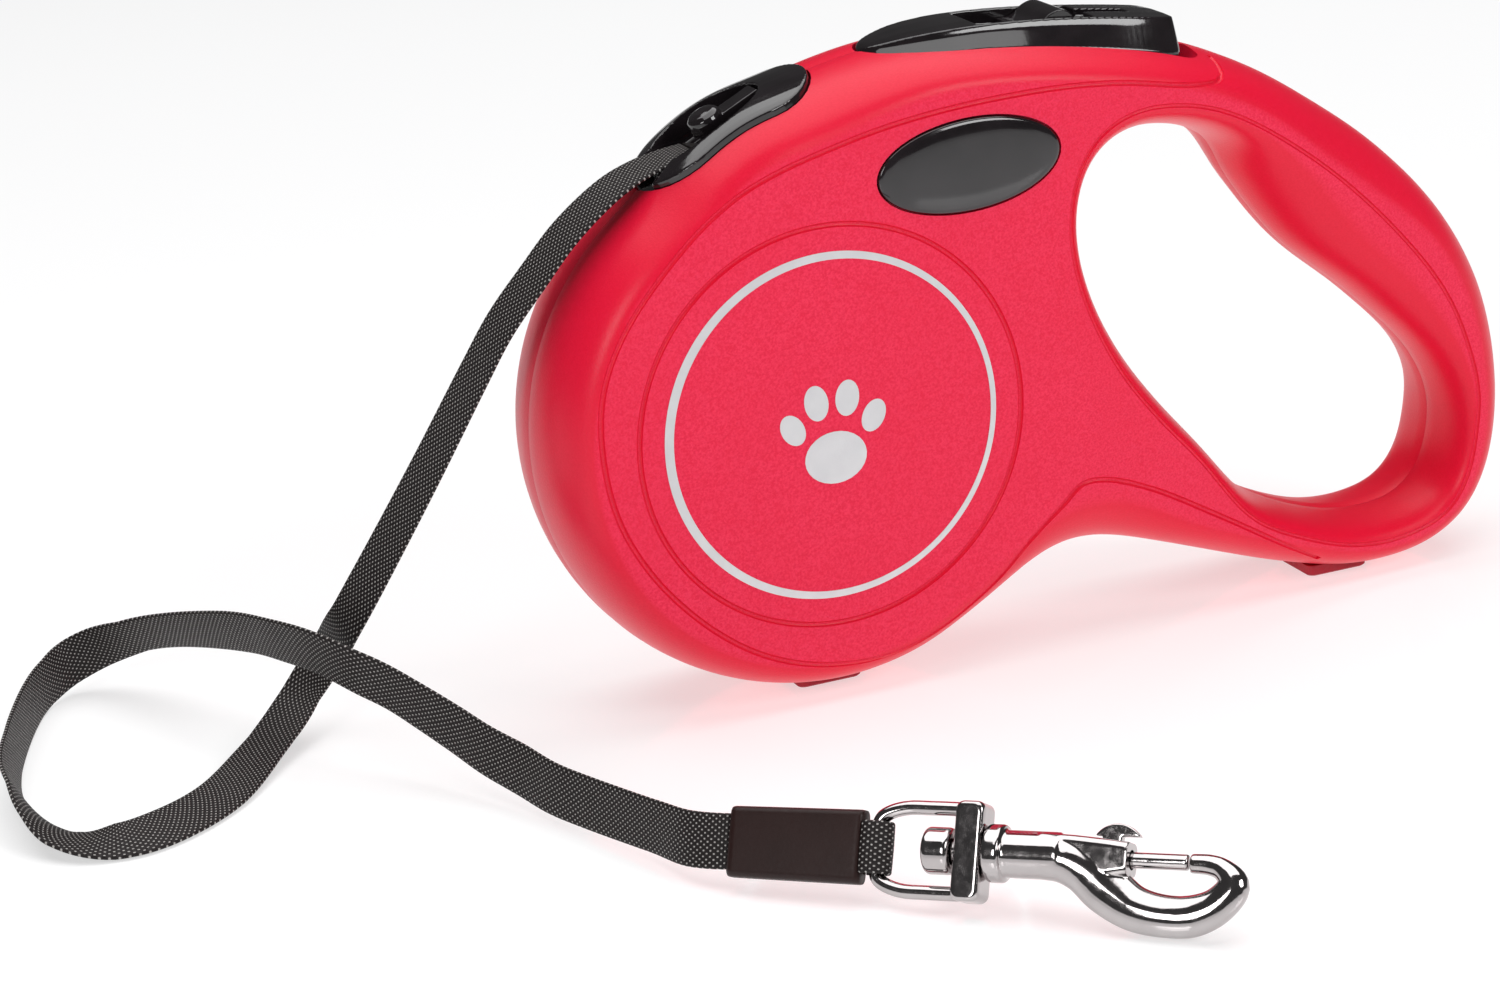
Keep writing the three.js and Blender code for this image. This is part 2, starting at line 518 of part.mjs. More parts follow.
// The way the tape's width points, keyed by the share of its length: across the nose, nearly level
// where it first lies on the floor, then turned up on its edge round the loop.
const WIDTHS = [
  [0, 0, 1, 0], [0.03, -0.15, 0.98, 0.08], [0.1, -0.09, 0.95, 0.29], [0.22, -0.22, 0.9, 0.36],
  [0.262, -0.13, 0.8, 0.55], [0.285, -0.4, 0.9, 0.15], [0.31, -0.72, 0.7, 0], [0.36, -0.7, 0.67, 0.24],
  [0.395, -0.45, 0.83, 0.34], [0.415, 0.1, 0.95, 0.32], [0.437, 0.8, 0.55, -0.2],
  [0.453, 0.75, 0.25, -0.62], [0.475, 0.45, 0.05, -0.9], [0.525, 0.16, -0.04, -0.99],
  [0.6, 0.1, 0.02, -0.99], [0.65, 0.62, 0.14, -0.77], [0.72, 0.36, 0, -0.93],
  [0.77, 0.17, 0.12, -0.98], [0.82, -0.15, 0.36, -0.92], [0.88, -0.25, 0.05, -0.97],
  [0.96, -0.14, -0.12, -0.98], [1, -0.32, -0.385, -0.865],
];
function widthAt(share) {
  const next = Math.max(1, WIDTHS.findIndex(([at]) => at >= share - 1e-9));
  const [a, b] = [WIDTHS[next - 1], WIDTHS[next]];
  return V3(...a.slice(1)).lerp(V3(...b.slice(1)), (share - a[0]) / (b[0] - a[0]));
}

class TapeCurve extends THREE.CatmullRomCurve3 {
  constructor(points, width) {
    super(points, false, 'centripetal');
    this.width = width;
  }

  computeFrenetFrames(segments) {
    const frames = { tangents: [], normals: [], binormals: [] };
    for (let i = 0; i <= segments; i++) {
      const tangent = this.getTangentAt(i / segments).normalize();
      const width = this.width(i / segments);
      width.addScaledVector(tangent, -tangent.dot(width)).normalize();
      frames.tangents.push(tangent);
      frames.binormals.push(width);
      frames.normals.push(width.clone().cross(tangent));
    }
    return frames;
  }
}

// A flat strip with slightly cut corners, swept along a curve.
function strip(points, width, steps) {
  const [w, t, c] = [TAPE.width / 2, TAPE.thick / 2, 0.2];
  const shape = new THREE.Shape([[t, -w + c], [t, w - c], [t - c, w], [c - t, w], [-t, w - c],
    [-t, c - w], [c - t, -w], [t - c, -w]].map(([x, y]) => V2(x, y)));
  const curve = new TapeCurve(points.map((p) => V3(...p)), width);
  return new THREE.ExtrudeGeometry(shape, { extrudePath: curve, steps, bevelEnabled: false });
}

const acrossY = () => V3(0, 1, 0);
const FEED = [[-27.6, 0, 79.7], [-33, 0, 81.6], [-39, 0, 83.9], [-45.5, 0, 86.4], [-49.5, 0, 87.9],
  [-53.4, 0, 88.75]];

// ---- end fittings ----------------------------------------------------------------------------
// Their own frame: u along the line, v up in the plane that they lie in, w across it.
const up = V3(0, 0, 1).multiplyScalar(Math.sin(rad(LEAN)))
  .addScaledVector(V3(-ALONG.y, ALONG.x, 0).normalize(), Math.cos(rad(LEAN)));
up.addScaledVector(ALONG, -up.dot(ALONG)).normalize();
const across = ALONG.clone().cross(up);
const endFrame = new THREE.Matrix4().makeBasis(ALONG, up, across).setPosition(END);

// A flat outline in u and v, extruded through w from -half to half.
function plate(points, half) {
  const shape = new THREE.Shape(points.map(([u, v]) => V2(u, v)));
  return new THREE.ExtrudeGeometry(shape, { depth: 2 * half, bevelEnabled: false }).translate(0, 0, -half);
}

const along = (r, u0, u1, v = 0, n = 16) =>
  new THREE.CylinderGeometry(r, r, u1 - u0, n).rotateZ(-Math.PI / 2).translate((u0 + u1) / 2, v, 0);

const placed = (manifold) => geometryOf(manifold).applyMatrix4(endFrame);

function sleeve() {
  const shape = new THREE.Shape();
  const [w, t, r] = [SLEEVE.wide / 2, SLEEVE.thick / 2, 1.2];
  shape.moveTo(-t + r, -w);
  shape.lineTo(t - r, -w);
  shape.quadraticCurveTo(t, -w, t, -w + r);
  shape.lineTo(t, w - r);
  shape.quadraticCurveTo(t, w, t - r, w);
  shape.lineTo(-t + r, w);
  shape.quadraticCurveTo(-t, w, -t, w - r);
  shape.lineTo(-t, -w + r);
  shape.quadraticCurveTo(-t, -w, -t + r, -w);
  const options = { depth: SLEEVE.to - SLEEVE.from, bevelEnabled: false, curveSegments: 4 };
  const block = new THREE.ExtrudeGeometry(shape, options).rotateY(Math.PI / 2);
  return block.translate(SLEEVE.from, 0, 0).applyMatrix4(endFrame);
}

// The tape's end turns round the ring's bar and back into the sleeve.
const RING = { bar: 11.6, r: 1, top: 6.9, block0: 23.5, block1: 27.8 };
const LOOP_WIDTH = 7.4;          // the tape is drawn in a little where it turns round the bar
function tapeEnd() {
  const start = SLEEVE.to + GAP;
  const inner = RING.r + GAP;
  const outer = inner + TAPE.thick;
  const shape = new THREE.Shape();
  shape.moveTo(start, -outer * 0.7);
  shape.lineTo(RING.bar - 1, -outer);
  shape.absarc(RING.bar, 0, outer, -Math.PI / 2, Math.PI / 2, false);
  shape.lineTo(start, outer * 0.7);
  shape.lineTo(start, outer * 0.7 - TAPE.thick);
  shape.lineTo(RING.bar - 1, inner);
  shape.absarc(RING.bar, 0, inner, Math.PI / 2, -Math.PI / 2, true);
  shape.lineTo(start, TAPE.thick - outer * 0.7);
  const options = { depth: LOOP_WIDTH, bevelEnabled: false, curveSegments: 6 };
  const geometry = new THREE.ExtrudeGeometry(shape, options).translate(0, 0, -LOOP_WIDTH / 2);
  return geometry.rotateX(Math.PI / 2).applyMatrix4(endFrame);
}

// A rod bent to the ring's D, from the block round the bar and back.
function swivelRing() {
  const top = RING.top - RING.r;
  const corner = [[24.5, top], [19.5, top], [15.6, top - 0.1], [13.2, top - 0.75], [12, top - 1.5],
    [RING.bar, top - 2.3]];
  const both = [...corner, [RING.bar, 0], ...corner.slice().reverse().map(([u, v]) => [u, -v])];
  const path = new THREE.CatmullRomCurve3(both.map(([u, v]) => V3(u, v, 0)), false, 'centripetal');
  const section = new THREE.Shape().absarc(0, 0, RING.r, 0, 2 * Math.PI, false);
  const bow = new THREE.ExtrudeGeometry(new THREE.Shape(section.getPoints(5).slice(0, -1)),
    { extrudePath: path, steps: 30, bevelEnabled: false });
  const [from, to, high] = [RING.block0, RING.block1, RING.top + 0.1];
  const block = plate([[from, -high], [to - 1.2, -high], [to, 1.6 - high], [to, high - 1.6],
    [to - 1.2, high], [from, high]], 2.6);
  return placed(solid(bow).add(solid(block)).subtract(solid(along(1.9, 20, 32))));
}

// The hook: rivet head, stem, collar and barrel in one, running into the bent plate of the hook.
const HOOK = { collar: 28.1, barrel: 30.7, gate: 48.8, tip: 57.3, bolt: -0.1 };
function hookBody() {
  const shaft = solid(along(1.6, 19, 33)).add(solid(along(3.3, 19, 23)))
    .add(solid(along(4, HOOK.collar, HOOK.barrel, 0, 20)))
    .add(solid(along(3.3, HOOK.barrel, 38, 0, 20)));
  const outline = new THREE.Shape();
  outline.moveTo(34, 3);
  outline.lineTo(HOOK.gate, 2.2);
  outline.lineTo(HOOK.gate + 0.1, -2.3);
  outline.bezierCurveTo(50, -3.8, 52, -4.7, 54.7, -4.7);
  outline.bezierCurveTo(57.8, -4.7, 61, -3.9, 61.2, -2.5);
  outline.bezierCurveTo(61.2, -1.5, 59.5, -1.3, HOOK.tip + 0.1, -1.5);
  outline.lineTo(HOOK.tip, 1.1);
  outline.bezierCurveTo(60.5, 1.3, 61.8, 0.9, 62.8, 0.2);
  outline.bezierCurveTo(64.7, -0.6, 65.6, -1.8, 65.6, -3.1);
  outline.bezierCurveTo(65.6, -7.4, 62.5, -10.4, 56.9, -10.4);
  outline.bezierCurveTo(52.5, -10.4, 49.5, -9.6, 47.1, -8.1);
  outline.bezierCurveTo(44.5, -6.5, 43.2, -4.2, 40.6, -3.5);
  outline.lineTo(34, -3);
  const geometry = new THREE.ExtrudeGeometry(outline, { depth: 2.2, curveSegments: 5, bevelThickness: 0.7,
    bevelSize: 0.5, bevelOffset: -0.5, bevelSegments: 1 });
  const bore = solid(along(1.4, 35.5, HOOK.gate + 3, HOOK.bolt, 12));
  const thumbSlot = solid(plate([[37.9, 0], [47.7, 0], [47.7, 6], [37.9, 6]], 0.9));
  return placed(shaft.add(solid(geometry.translate(0, 0, -1.1))).subtract(bore).subtract(thumbSlot));
}

// The gate bolt with its low thumb piece.
function hookBolt() {
  const thumb = new THREE.Shape().absarc(46.8, 0.9, 3.9, rad(33), rad(147), false);
  thumb.lineTo(44.6, 3);
  thumb.lineTo(44.6, 0);
  thumb.lineTo(47.4, 0);
  thumb.lineTo(47.4, 3);
  const moon = new THREE.ExtrudeGeometry(thumb, { depth: 1.2, bevelEnabled: false, curveSegments: 8 });
  return placed(solid(along(1.1, 41.6, HOOK.tip - GAP, HOOK.bolt, 14))
    .add(solid(moon.translate(0, 0, -0.6))));
}

const boltSpring = () => placed(solid(along(0.9, 35.8, 41.3, HOOK.bolt, 10)));

// ---- the leash -------------------------------------------------------------------------------
const group = new THREE.Group();
const add = (...args) => group.add(mesh(...args));
add('front_shell', shell(-1), RED, 0.5);
add('rear_shell', shell(1), RED, 0.5);
add('tape_nose', nose(), BLACK, 0.12);
add('guide_stud', guideStud(), BLACK, 0.12);
add('front_badge', badge(-1), BLACK, 0.1);
add('rear_badge', badge(1), BLACK, 0.1);
add('brake_button', brakeButton(), BLACK, 0.12);
add('lock_slider', lockSlider(), BLACK, 0.12);
add('button_spring', buttonSpring(), STEEL, 0.3, 1);
add('button_pin', rod(BUTTON_PIN.r, -10.5, 10.5, BUTTON_PIN.x, BUTTON_PIN.z), STEEL, 0.3, 1);
FEET.forEach((x, i) => add(['drum_foot', 'grip_foot'][i],
  box(x - FOOT.long / 2, x + FOOT.long / 2, -FOOT.wide / 2, FOOT.wide / 2, 0, FOOT.t), RED, 0.6));
SCREWS.forEach((at, i) => add(`case_screw_${i + 1}`, caseScrew(at), STEEL, 0.35, 1));
add('axle', rod(AXLE_R, -13, 13, DRUM.x, DRUM.z, 24), STEEL, 0.3, 1);
add('spool', spool(), NYLON, 0.5);
add('wound_tape', annulus(HUB_R + GAP, PACK_R, -TAPE.width / 2, TAPE.width / 2, DRUM.x, DRUM.z, 36),
  WEB, 0.8);
add('power_spring', powerSpring(), STEEL, 0.3, 1);
add('spring_cover', annulus(7, CUP.r, CUP.end + GAP, CUP.end + GAP + 0.6, DRUM.x, DRUM.z, 30), NYLON, 0.5);
add('brake_pawl', pawl(), NYLON, 0.5);
add('pawl_pin', rod(PAWL_PIN.r, -12.8, -4.6, PAWL_PIN.x, PAWL_PIN.z), STEEL, 0.3, 1);
add('tape_feed', strip(FEED, acrossY, 10), WEB, 0.8);
add('tape_free', strip(ROUTE, widthAt, 90), WEB, 0.8);
add('tape_sleeve', sleeve(), BROWN, 0.45);
add('tape_end', tapeEnd(), WEB, 0.8);
add('swivel_ring', swivelRing(), STEEL, 0.08, 1);
add('hook_body', hookBody(), STEEL, 0.08, 1);
add('hook_bolt', hookBolt(), STEEL, 0.08, 1);
add('bolt_spring', boltSpring(), STEEL, 0.3, 1);

export default group;
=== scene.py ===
import math

import bmesh
import bpy
import numpy as np
from mathutils import Matrix, Vector
from mathutils.geometry import delaunay_2d_cdt


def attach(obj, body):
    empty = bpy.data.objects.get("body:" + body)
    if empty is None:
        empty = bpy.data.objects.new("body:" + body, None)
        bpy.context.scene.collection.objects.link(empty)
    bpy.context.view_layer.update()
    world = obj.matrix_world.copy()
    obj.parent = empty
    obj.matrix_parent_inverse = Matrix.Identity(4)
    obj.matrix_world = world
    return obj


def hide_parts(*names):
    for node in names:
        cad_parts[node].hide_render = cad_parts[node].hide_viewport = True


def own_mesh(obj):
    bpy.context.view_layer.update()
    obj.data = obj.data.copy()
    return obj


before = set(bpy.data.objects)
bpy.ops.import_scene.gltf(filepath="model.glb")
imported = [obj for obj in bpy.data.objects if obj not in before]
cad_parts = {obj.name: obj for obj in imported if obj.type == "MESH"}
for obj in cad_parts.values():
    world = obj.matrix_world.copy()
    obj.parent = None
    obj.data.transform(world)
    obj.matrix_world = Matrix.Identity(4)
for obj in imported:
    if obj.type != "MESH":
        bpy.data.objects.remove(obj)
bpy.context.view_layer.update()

# A retractable tape leash. Metres, +Z up; it stands on its feet with the tape outlet towards -X.

MM = 0.001

# ---- driving dimensions, in millimetres until the meshes are made ----------------------------
HALF = 15.5                      # half thickness of the housing over the reel
TAPER_FROM = 12                  # X where the housing starts to thin towards the grip
TAPER = 0.0625
WALL = 2.2
RIM = 6.4
RIM_BUMPS = [(-42, 96, 2.2, 20), (60, 74, 3, 18), (4, 14, 5.8, 12), (64, 4, -1.7, 18), (82, 22, -0.6, 14)]
DRUM = (-39.5, 45.5)
DRUM_R = 44.9
GRIP_FOOT_X = 53
DISC_R = 32
PRINT_R = 27.2                   # the printed ring's middle
FOIL_SUNK, FOIL_LIFT = 0.1, 0.06
NOSE_GATE = 0.6                  # the channel's spare width on each side of the tape
NOSE_AT = (-49, 94.6)
NOSE_TILT = 26
BADGE = dict(x=-13.7, z=82.9, a=15.4, b=7.2, tilt=2)
TAPE_WIDTH = 8
TAPE_THICK = 0.8
END = Vector((-74.9, -80.3, 7.2))
ALONG = Vector((0.715, -0.7, 0.045)).normalized()
LEAN = 60


# ---- small tools -----------------------------------------------------------------------------
def unit(v):
    return v / max(np.linalg.norm(v), 1e-12)


def spline(points, closed=False, step=1.0):
    """Centripetal Catmull-Rom through the points, resampled evenly at about one step."""
    pts = [np.array(p, float) for p in points]
    n = len(pts)
    if not closed:
        pts = [2 * pts[0] - pts[1]] + pts + [2 * pts[-1] - pts[-2]]
    out = []
    spans = n if closed else n - 1
    for i in range(spans):
        if closed:
            p0, p1, p2, p3 = (pts[(i + k - 1) % n] for k in range(4))
        else:
            p0, p1, p2, p3 = pts[i:i + 4]
        d0, d1, d2 = (max(np.linalg.norm(b - a) ** 0.5, 1e-6) for a, b in ((p0, p1), (p1, p2), (p2, p3)))
        t1 = (p1 - p0) / d0 - (p2 - p0) / (d0 + d1) + (p2 - p1) / d1
        t2 = (p2 - p1) / d1 - (p3 - p1) / (d1 + d2) + (p3 - p2) / d2
        t1, t2 = t1 * d1, t2 * d1
        for k in range(24):
            t = k / 24
            a, b = 2 * t ** 3 - 3 * t ** 2 + 1, t ** 3 - 2 * t ** 2 + t
            c, d = -2 * t ** 3 + 3 * t ** 2, t ** 3 - t ** 2
            out.append(a * p1 + b * t1 + c * p2 + d * t2)
    out.append(pts[0] if closed else pts[-2])
    return evenly(np.array(out), step, closed)


def evenly(line, step, closed=False):
    gaps = np.linalg.norm(np.diff(line, axis=0), axis=1)
    dist = np.concatenate([[0], np.cumsum(gaps)])
    count = max(2, int(round(dist[-1] / step)))
    at = np.linspace(0, dist[-1], count + 1)
    new = np.stack([np.interp(at, dist, line[:, k]) for k in range(line.shape[1])], axis=1)
    return new[:-1] if closed else new


def soften(loop, reach):
    """Gaussian smoothing of a closed, evenly spaced loop; reach is in samples."""
    span = int(3 * reach)
    weights = np.exp(-0.5 * (np.arange(-span, span + 1) / reach) ** 2)
    weights /= weights.sum()
    padded = np.concatenate([loop[-span:], loop, loop[:span]])
    return np.stack([np.convolve(padded[:, k], weights, "valid") for k in range(loop.shape[1])], axis=1)


def inset(loop, distance):
    """Moves a clockwise XZ loop inwards by a number, or by one for each point."""
    along = np.roll(loop, -1, axis=0) - np.roll(loop, 1, axis=0)
    along /= np.linalg.norm(along, axis=1)[:, None]
    inward = np.stack([along[:, 1], -along[:, 0]], axis=1)
    return loop + inward * np.reshape(distance, (-1, 1))


def obj_from(name, verts, faces, scale=MM, uv=None):
    mesh = bpy.data.meshes.new(name)
    mesh.from_pydata([tuple(float(c) * scale for c in v) for v in verts], [], faces)
    if uv is not None:
        layer = mesh.uv_layers.new(name="tape")
        for loop in mesh.loops:
            layer.data[loop.index].uv = uv[loop.vertex_index]
    mesh.update()
    obj = bpy.data.objects.new(name, mesh)
    bpy.context.scene.collection.objects.link(obj)
    return obj


def tidy_normals(obj):
    bm = bmesh.new()
    bm.from_mesh(obj.data)
    bmesh.ops.remove_doubles(bm, verts=bm.verts, dist=1e-6)
    bmesh.ops.recalc_face_normals(bm, faces=bm.faces)
    bm.to_mesh(obj.data)
    bm.free()
    return obj


def skin(name, rings, wrap=False):
    """Joins rings of equal count into one surface, with end caps or wrapped round."""
    n = len(rings[0])
    verts = [v for ring in rings for v in ring]
    faces = []
    rows = len(rings) if wrap else len(rings) - 1
    for k in range(rows):
        a, b = k * n, ((k + 1) % len(rings)) * n
        faces += [(a + i, a + (i + 1) % n, b + (i + 1) % n, b + i) for i in range(n)]
    if not wrap:
        faces.append(tuple(range(n))[::-1])
        faces.append(tuple(range((len(rings) - 1) * n, len(rings) * n)))
    return tidy_normals(obj_from(name, verts, faces))


def bake(obj):
    """Applies the modifiers to the mesh."""
    graph = bpy.context.evaluated_depsgraph_get()
    mesh = bpy.data.meshes.new_from_object(obj.evaluated_get(graph))
    obj.modifiers.clear()
    obj.data = mesh
    return obj


def drop(obj):
    bpy.data.objects.remove(obj, do_unlink=True)


def combine(obj, other, operation):
    """Cuts or keeps what the other mesh covers, and uses that mesh up."""
    mod = obj.modifiers.new("cut", "BOOLEAN")
    mod.operation = operation
    mod.solver = "EXACT"
    mod.object = other
    bake(obj)
    drop(other)
    return obj


def cut(obj, other):
    return combine(obj, other, "DIFFERENCE")


def join(name, parts):
    """One object of several closed meshes, overlapping as they lie."""
    bm = bmesh.new()
    for part in parts:
        part.data.transform(part.matrix_world)
        bm.from_mesh(part.data)
    mesh = bpy.data.meshes.new(name)
    bm.to_mesh(mesh)
    bm.free()
    for part in parts:
        drop(part)
    obj = bpy.data.objects.new(name, mesh)
    bpy.context.scene.collection.objects.link(obj)
    return obj


def cast(obj, voxel, rounds):
    """Melts overlapping solids into one skin with small fillets, as a casting has."""
    mod = obj.modifiers.new("remesh", "REMESH")
    mod.mode = "VOXEL"
    mod.voxel_size = voxel * MM
    soft = obj.modifiers.new("soft", "SMOOTH")
    soft.factor = 0.5
    soft.iterations = rounds
    return shade(bake(obj))


def bevel(obj, width):
    mod = obj.modifiers.new("bevel", "BEVEL")
    mod.width = width * MM
    mod.segments = 3
    mod.limit_method = "ANGLE"
    mod.angle_limit = math.radians(35)
    return bake(obj)


def shade(obj, angle=None):
    obj.data.shade_smooth()
    if angle:
        obj.data.set_sharp_from_angle(angle=math.radians(angle))
    return obj


def prism(name, points, y0, y1):
    """An XZ outline run through Y."""
    return skin(name, [[(x, y, z) for x, z in points] for y in (y0, y1)])


def plan(name, points, z0, z1):
    return skin(name, [[(x, y, z) for x, y in points] for z in (z0, z1)])


def tube(name, line, radius, sides=12, wrap=False):
    """A round rod along a 3-D line; the radius is one number or one for each point."""
    line = np.array(line, float)
    count = len(line)
    radii = np.broadcast_to(radius, (count,))
    ahead = np.roll(line, -1, axis=0) - np.roll(line, 1, axis=0)
    if not wrap:
        ahead[0], ahead[-1] = line[1] - line[0], line[-1] - line[-2]
    normal = None
    rings = []
    for i in range(count):
        t = unit(ahead[i])
        if normal is None:
            normal = unit(np.cross(t, (0.3, 0.9, 0.2)))
        normal = unit(normal - t * normal.dot(t))
        side = np.cross(t, normal)
        angles = np.arange(sides) * 2 * math.pi / sides
        rings.append([line[i] + radii[i] * (math.cos(a) * normal + math.sin(a) * side) for a in angles])
    return skin(name, rings, wrap=wrap)


def rounded_rect(half_x, half_y, r, steps=5):
    """Corner-rounded rectangle, anticlockwise."""
    points = []
    for cx, cy, start in ((1, 1, 0), (-1, 1, 90), (-1, -1, 180), (1, -1, 270)):
        for k in range(steps + 1):
            a = math.radians(start + 90 * k / steps)
            points.append((cx * (half_x - r) + r * math.cos(a), cy * (half_y - r) + r * math.sin(a)))
    return points


# ---- materials -------------------------------------------------------------------------------
class Graph:
    """A little help for writing node materials."""

    def __init__(self, name):
        self.material = bpy.data.materials.new(name)
        self.material.use_nodes = True
        self.tree = self.material.node_tree
        self.bsdf = self.tree.nodes["Principled BSDF"]

    def set(self, **values):
        for key, value in values.items():
            self.bsdf.inputs[key.replace("_", " ")].default_value = value

    def node(self, kind, inputs=None, **settings):
        node = self.tree.nodes.new(kind)
        for key, value in settings.items():
            setattr(node, key, value)
        for key, value in (inputs or {}).items():
            self.feed(node.inputs[key], value)
        return node

    def feed(self, socket, value):
        if isinstance(value, bpy.types.NodeSocket):
            self.tree.links.new(value, socket)
        else:
            socket.default_value = value

    def math(self, operation, a, b=0.0):
        node = self.tree.nodes.new("ShaderNodeMath")
        node.operation = operation
        for socket, value in zip(node.inputs, (a, b)):
            self.feed(socket, value)
        return node.outputs[0]

    def mix(self, factor, a, b):
        node = self.tree.nodes.new("ShaderNodeMix")
        node.data_type = "RGBA"
        self.feed(node.inputs[0], factor)
        self.feed(node.inputs[6], a)
        self.feed(node.inputs[7], b)
        return node.outputs[2]

    def span(self, value, low, high, to_low=0.0, to_high=1.0):
        node = self.tree.nodes.new("ShaderNodeMapRange")
        for socket, item in zip(node.inputs, (value, low, high, to_low, to_high)):
            self.feed(socket, item)
        return node.outputs[0]

    def noise(self, scale, detail=2.0, roughness=0.5):
        where = self.node("ShaderNodeTexCoord").outputs["Object"]
        node = self.node("ShaderNodeTexNoise", {"Vector": where, "Scale": scale, "Detail": detail,
                                                "Roughness": roughness})
        return node.outputs["Fac"]

    def bump(self, height, distance, strength=1.0):
        node = self.node("ShaderNodeBump", {"Height": height, "Strength": strength, "Distance": distance})
        self.tree.links.new(node.outputs[0], self.bsdf.inputs["Normal"])


def coral_material():
    """Moulded red plastic: a fine spark-eroded grain on the side faces, silkier on the round rims; the side
    faces carry a painted sheen, a lighter and pinker speckled red than the rims.
    """
    g = Graph("coral_plastic")
    facing = g.node("ShaderNodeSeparateXYZ", {0: g.node("ShaderNodeNewGeometry").outputs["Normal"]})
    flat = g.span(g.math("ABSOLUTE", facing.outputs["Y"]), 0.93, 0.995)
    grain = g.noise(3000, 2, 0.6)
    cloud = g.noise(60, 2)
    fine = g.span(grain, 0.36, 0.64)
    # painted sheen: the flat side faces get a lighter, pinker red, speckled with the grain, than the plain
    # red of the rims
    grain_and_sheen = g.mix(fine, (0.84, 0.010, 0.055, 1), (0.95, 0.030, 0.095, 1))
    plain = g.mix(fine, (0.80, 0.006, 0.036, 1), (0.84, 0.010, 0.045, 1))
    tone = g.mix(flat, plain, grain_and_sheen)
    tone = g.mix(g.span(cloud, 0.35, 0.65, 0, 0.2), tone, (0.86, 0.010, 0.048, 1))
    g.feed(g.bsdf.inputs["Base Color"], tone)
    g.feed(g.bsdf.inputs["Roughness"], g.span(flat, 0, 1, 0.34, 0.45))
    g.set(Subsurface_Weight=0.06, Subsurface_Scale=0.004, IOR=1.49, Specular_IOR_Level=0.3)
    g.bump(g.math("MULTIPLY", grain, g.span(flat, 0, 1, 0.35, 1.0)), 0.00009, 1.0)
    return g.material


def gloss_material():
    """Polished black plastic with the faintest swirl in its polish."""
    g = Graph("black_gloss")
    deep, worn = (0.009, 0.007, 0.008, 1), (0.0153, 0.0119, 0.0136, 1)
    g.feed(g.bsdf.inputs["Base Color"], g.mix(g.span(g.noise(220), 0.3, 0.7), deep, worn))
    g.feed(g.bsdf.inputs["Roughness"], g.span(g.noise(420, 4), 0.3, 0.7, 0.07, 0.12))
    g.set(IOR=1.52, Coat_Weight=0.4, Coat_Roughness=0.03)
    g.bump(g.noise(160, 1), 0.00002, 0.25)
    return g.material


def chrome_material():
    """Plated zinc: near-mirror, with casting ripples under the plating."""
    g = Graph("chrome")
    g.feed(g.bsdf.inputs["Base Color"], g.mix(g.noise(300), (0.52, 0.49, 0.49, 1), (0.44, 0.41, 0.41, 1)))
    g.feed(g.bsdf.inputs["Roughness"], g.span(g.noise(900, 5), 0.3, 0.75, 0.05, 0.14))
    g.set(Metallic=1.0)
    g.bump(g.noise(380, 3), 0.00008, 0.22)
    return g.material


def steel_material():
    g = Graph("spring_steel")
    g.feed(g.bsdf.inputs["Base Color"], g.mix(g.noise(700), (0.55, 0.55, 0.57, 1), (0.44, 0.44, 0.456, 1)))
    g.feed(g.bsdf.inputs["Roughness"], g.span(g.noise(1500, 3), 0.3, 0.7, 0.22, 0.4))
    g.set(Metallic=1.0)
    g.bump(g.noise(2200, 3), 0.00002, 0.5)
    return g.material


def nylon_material():
    g = Graph("nylon")
    g.feed(g.bsdf.inputs["Base Color"], g.mix(g.noise(90), (0.72, 0.7, 0.66, 1), (0.62, 0.6, 0.56, 1)))
    g.feed(g.bsdf.inputs["Roughness"], g.span(g.noise(900), 0.3, 0.7, 0.4, 0.55))
    g.set(Subsurface_Weight=0.1, Subsurface_Scale=0.003)
    g.bump(g.noise(1600, 3), 0.00003, 0.5)
    return g.material


def rubber_material():
    g = Graph("red_rubber")
    g.feed(g.bsdf.inputs["Base Color"], g.mix(g.noise(500), (0.5, 0.02, 0.04, 1), (0.36, 0.012, 0.03, 1)))
    g.feed(g.bsdf.inputs["Roughness"], g.span(g.noise(1500), 0.3, 0.7, 0.5, 0.75))
    g.bump(g.noise(2600, 3), 0.00005, 0.6)
    return g.material


def sleeve_material():
    """Dark brown heat-shrunk sleeve: satin, with long soft drag marks."""
    g = Graph("brown_sleeve")
    g.feed(g.bsdf.inputs["Base Color"], g.mix(g.noise(160, 3), (0.016, 0.006, 0.005, 1),
                                              (0.026, 0.010, 0.009, 1)))
    g.feed(g.bsdf.inputs["Roughness"], g.span(g.noise(1300, 4), 0.3, 0.7, 0.36, 0.5))
    g.set(Specular_IOR_Level=0.25)
    g.bump(g.noise(1900, 4), 0.00004, 0.5)
    return g.material


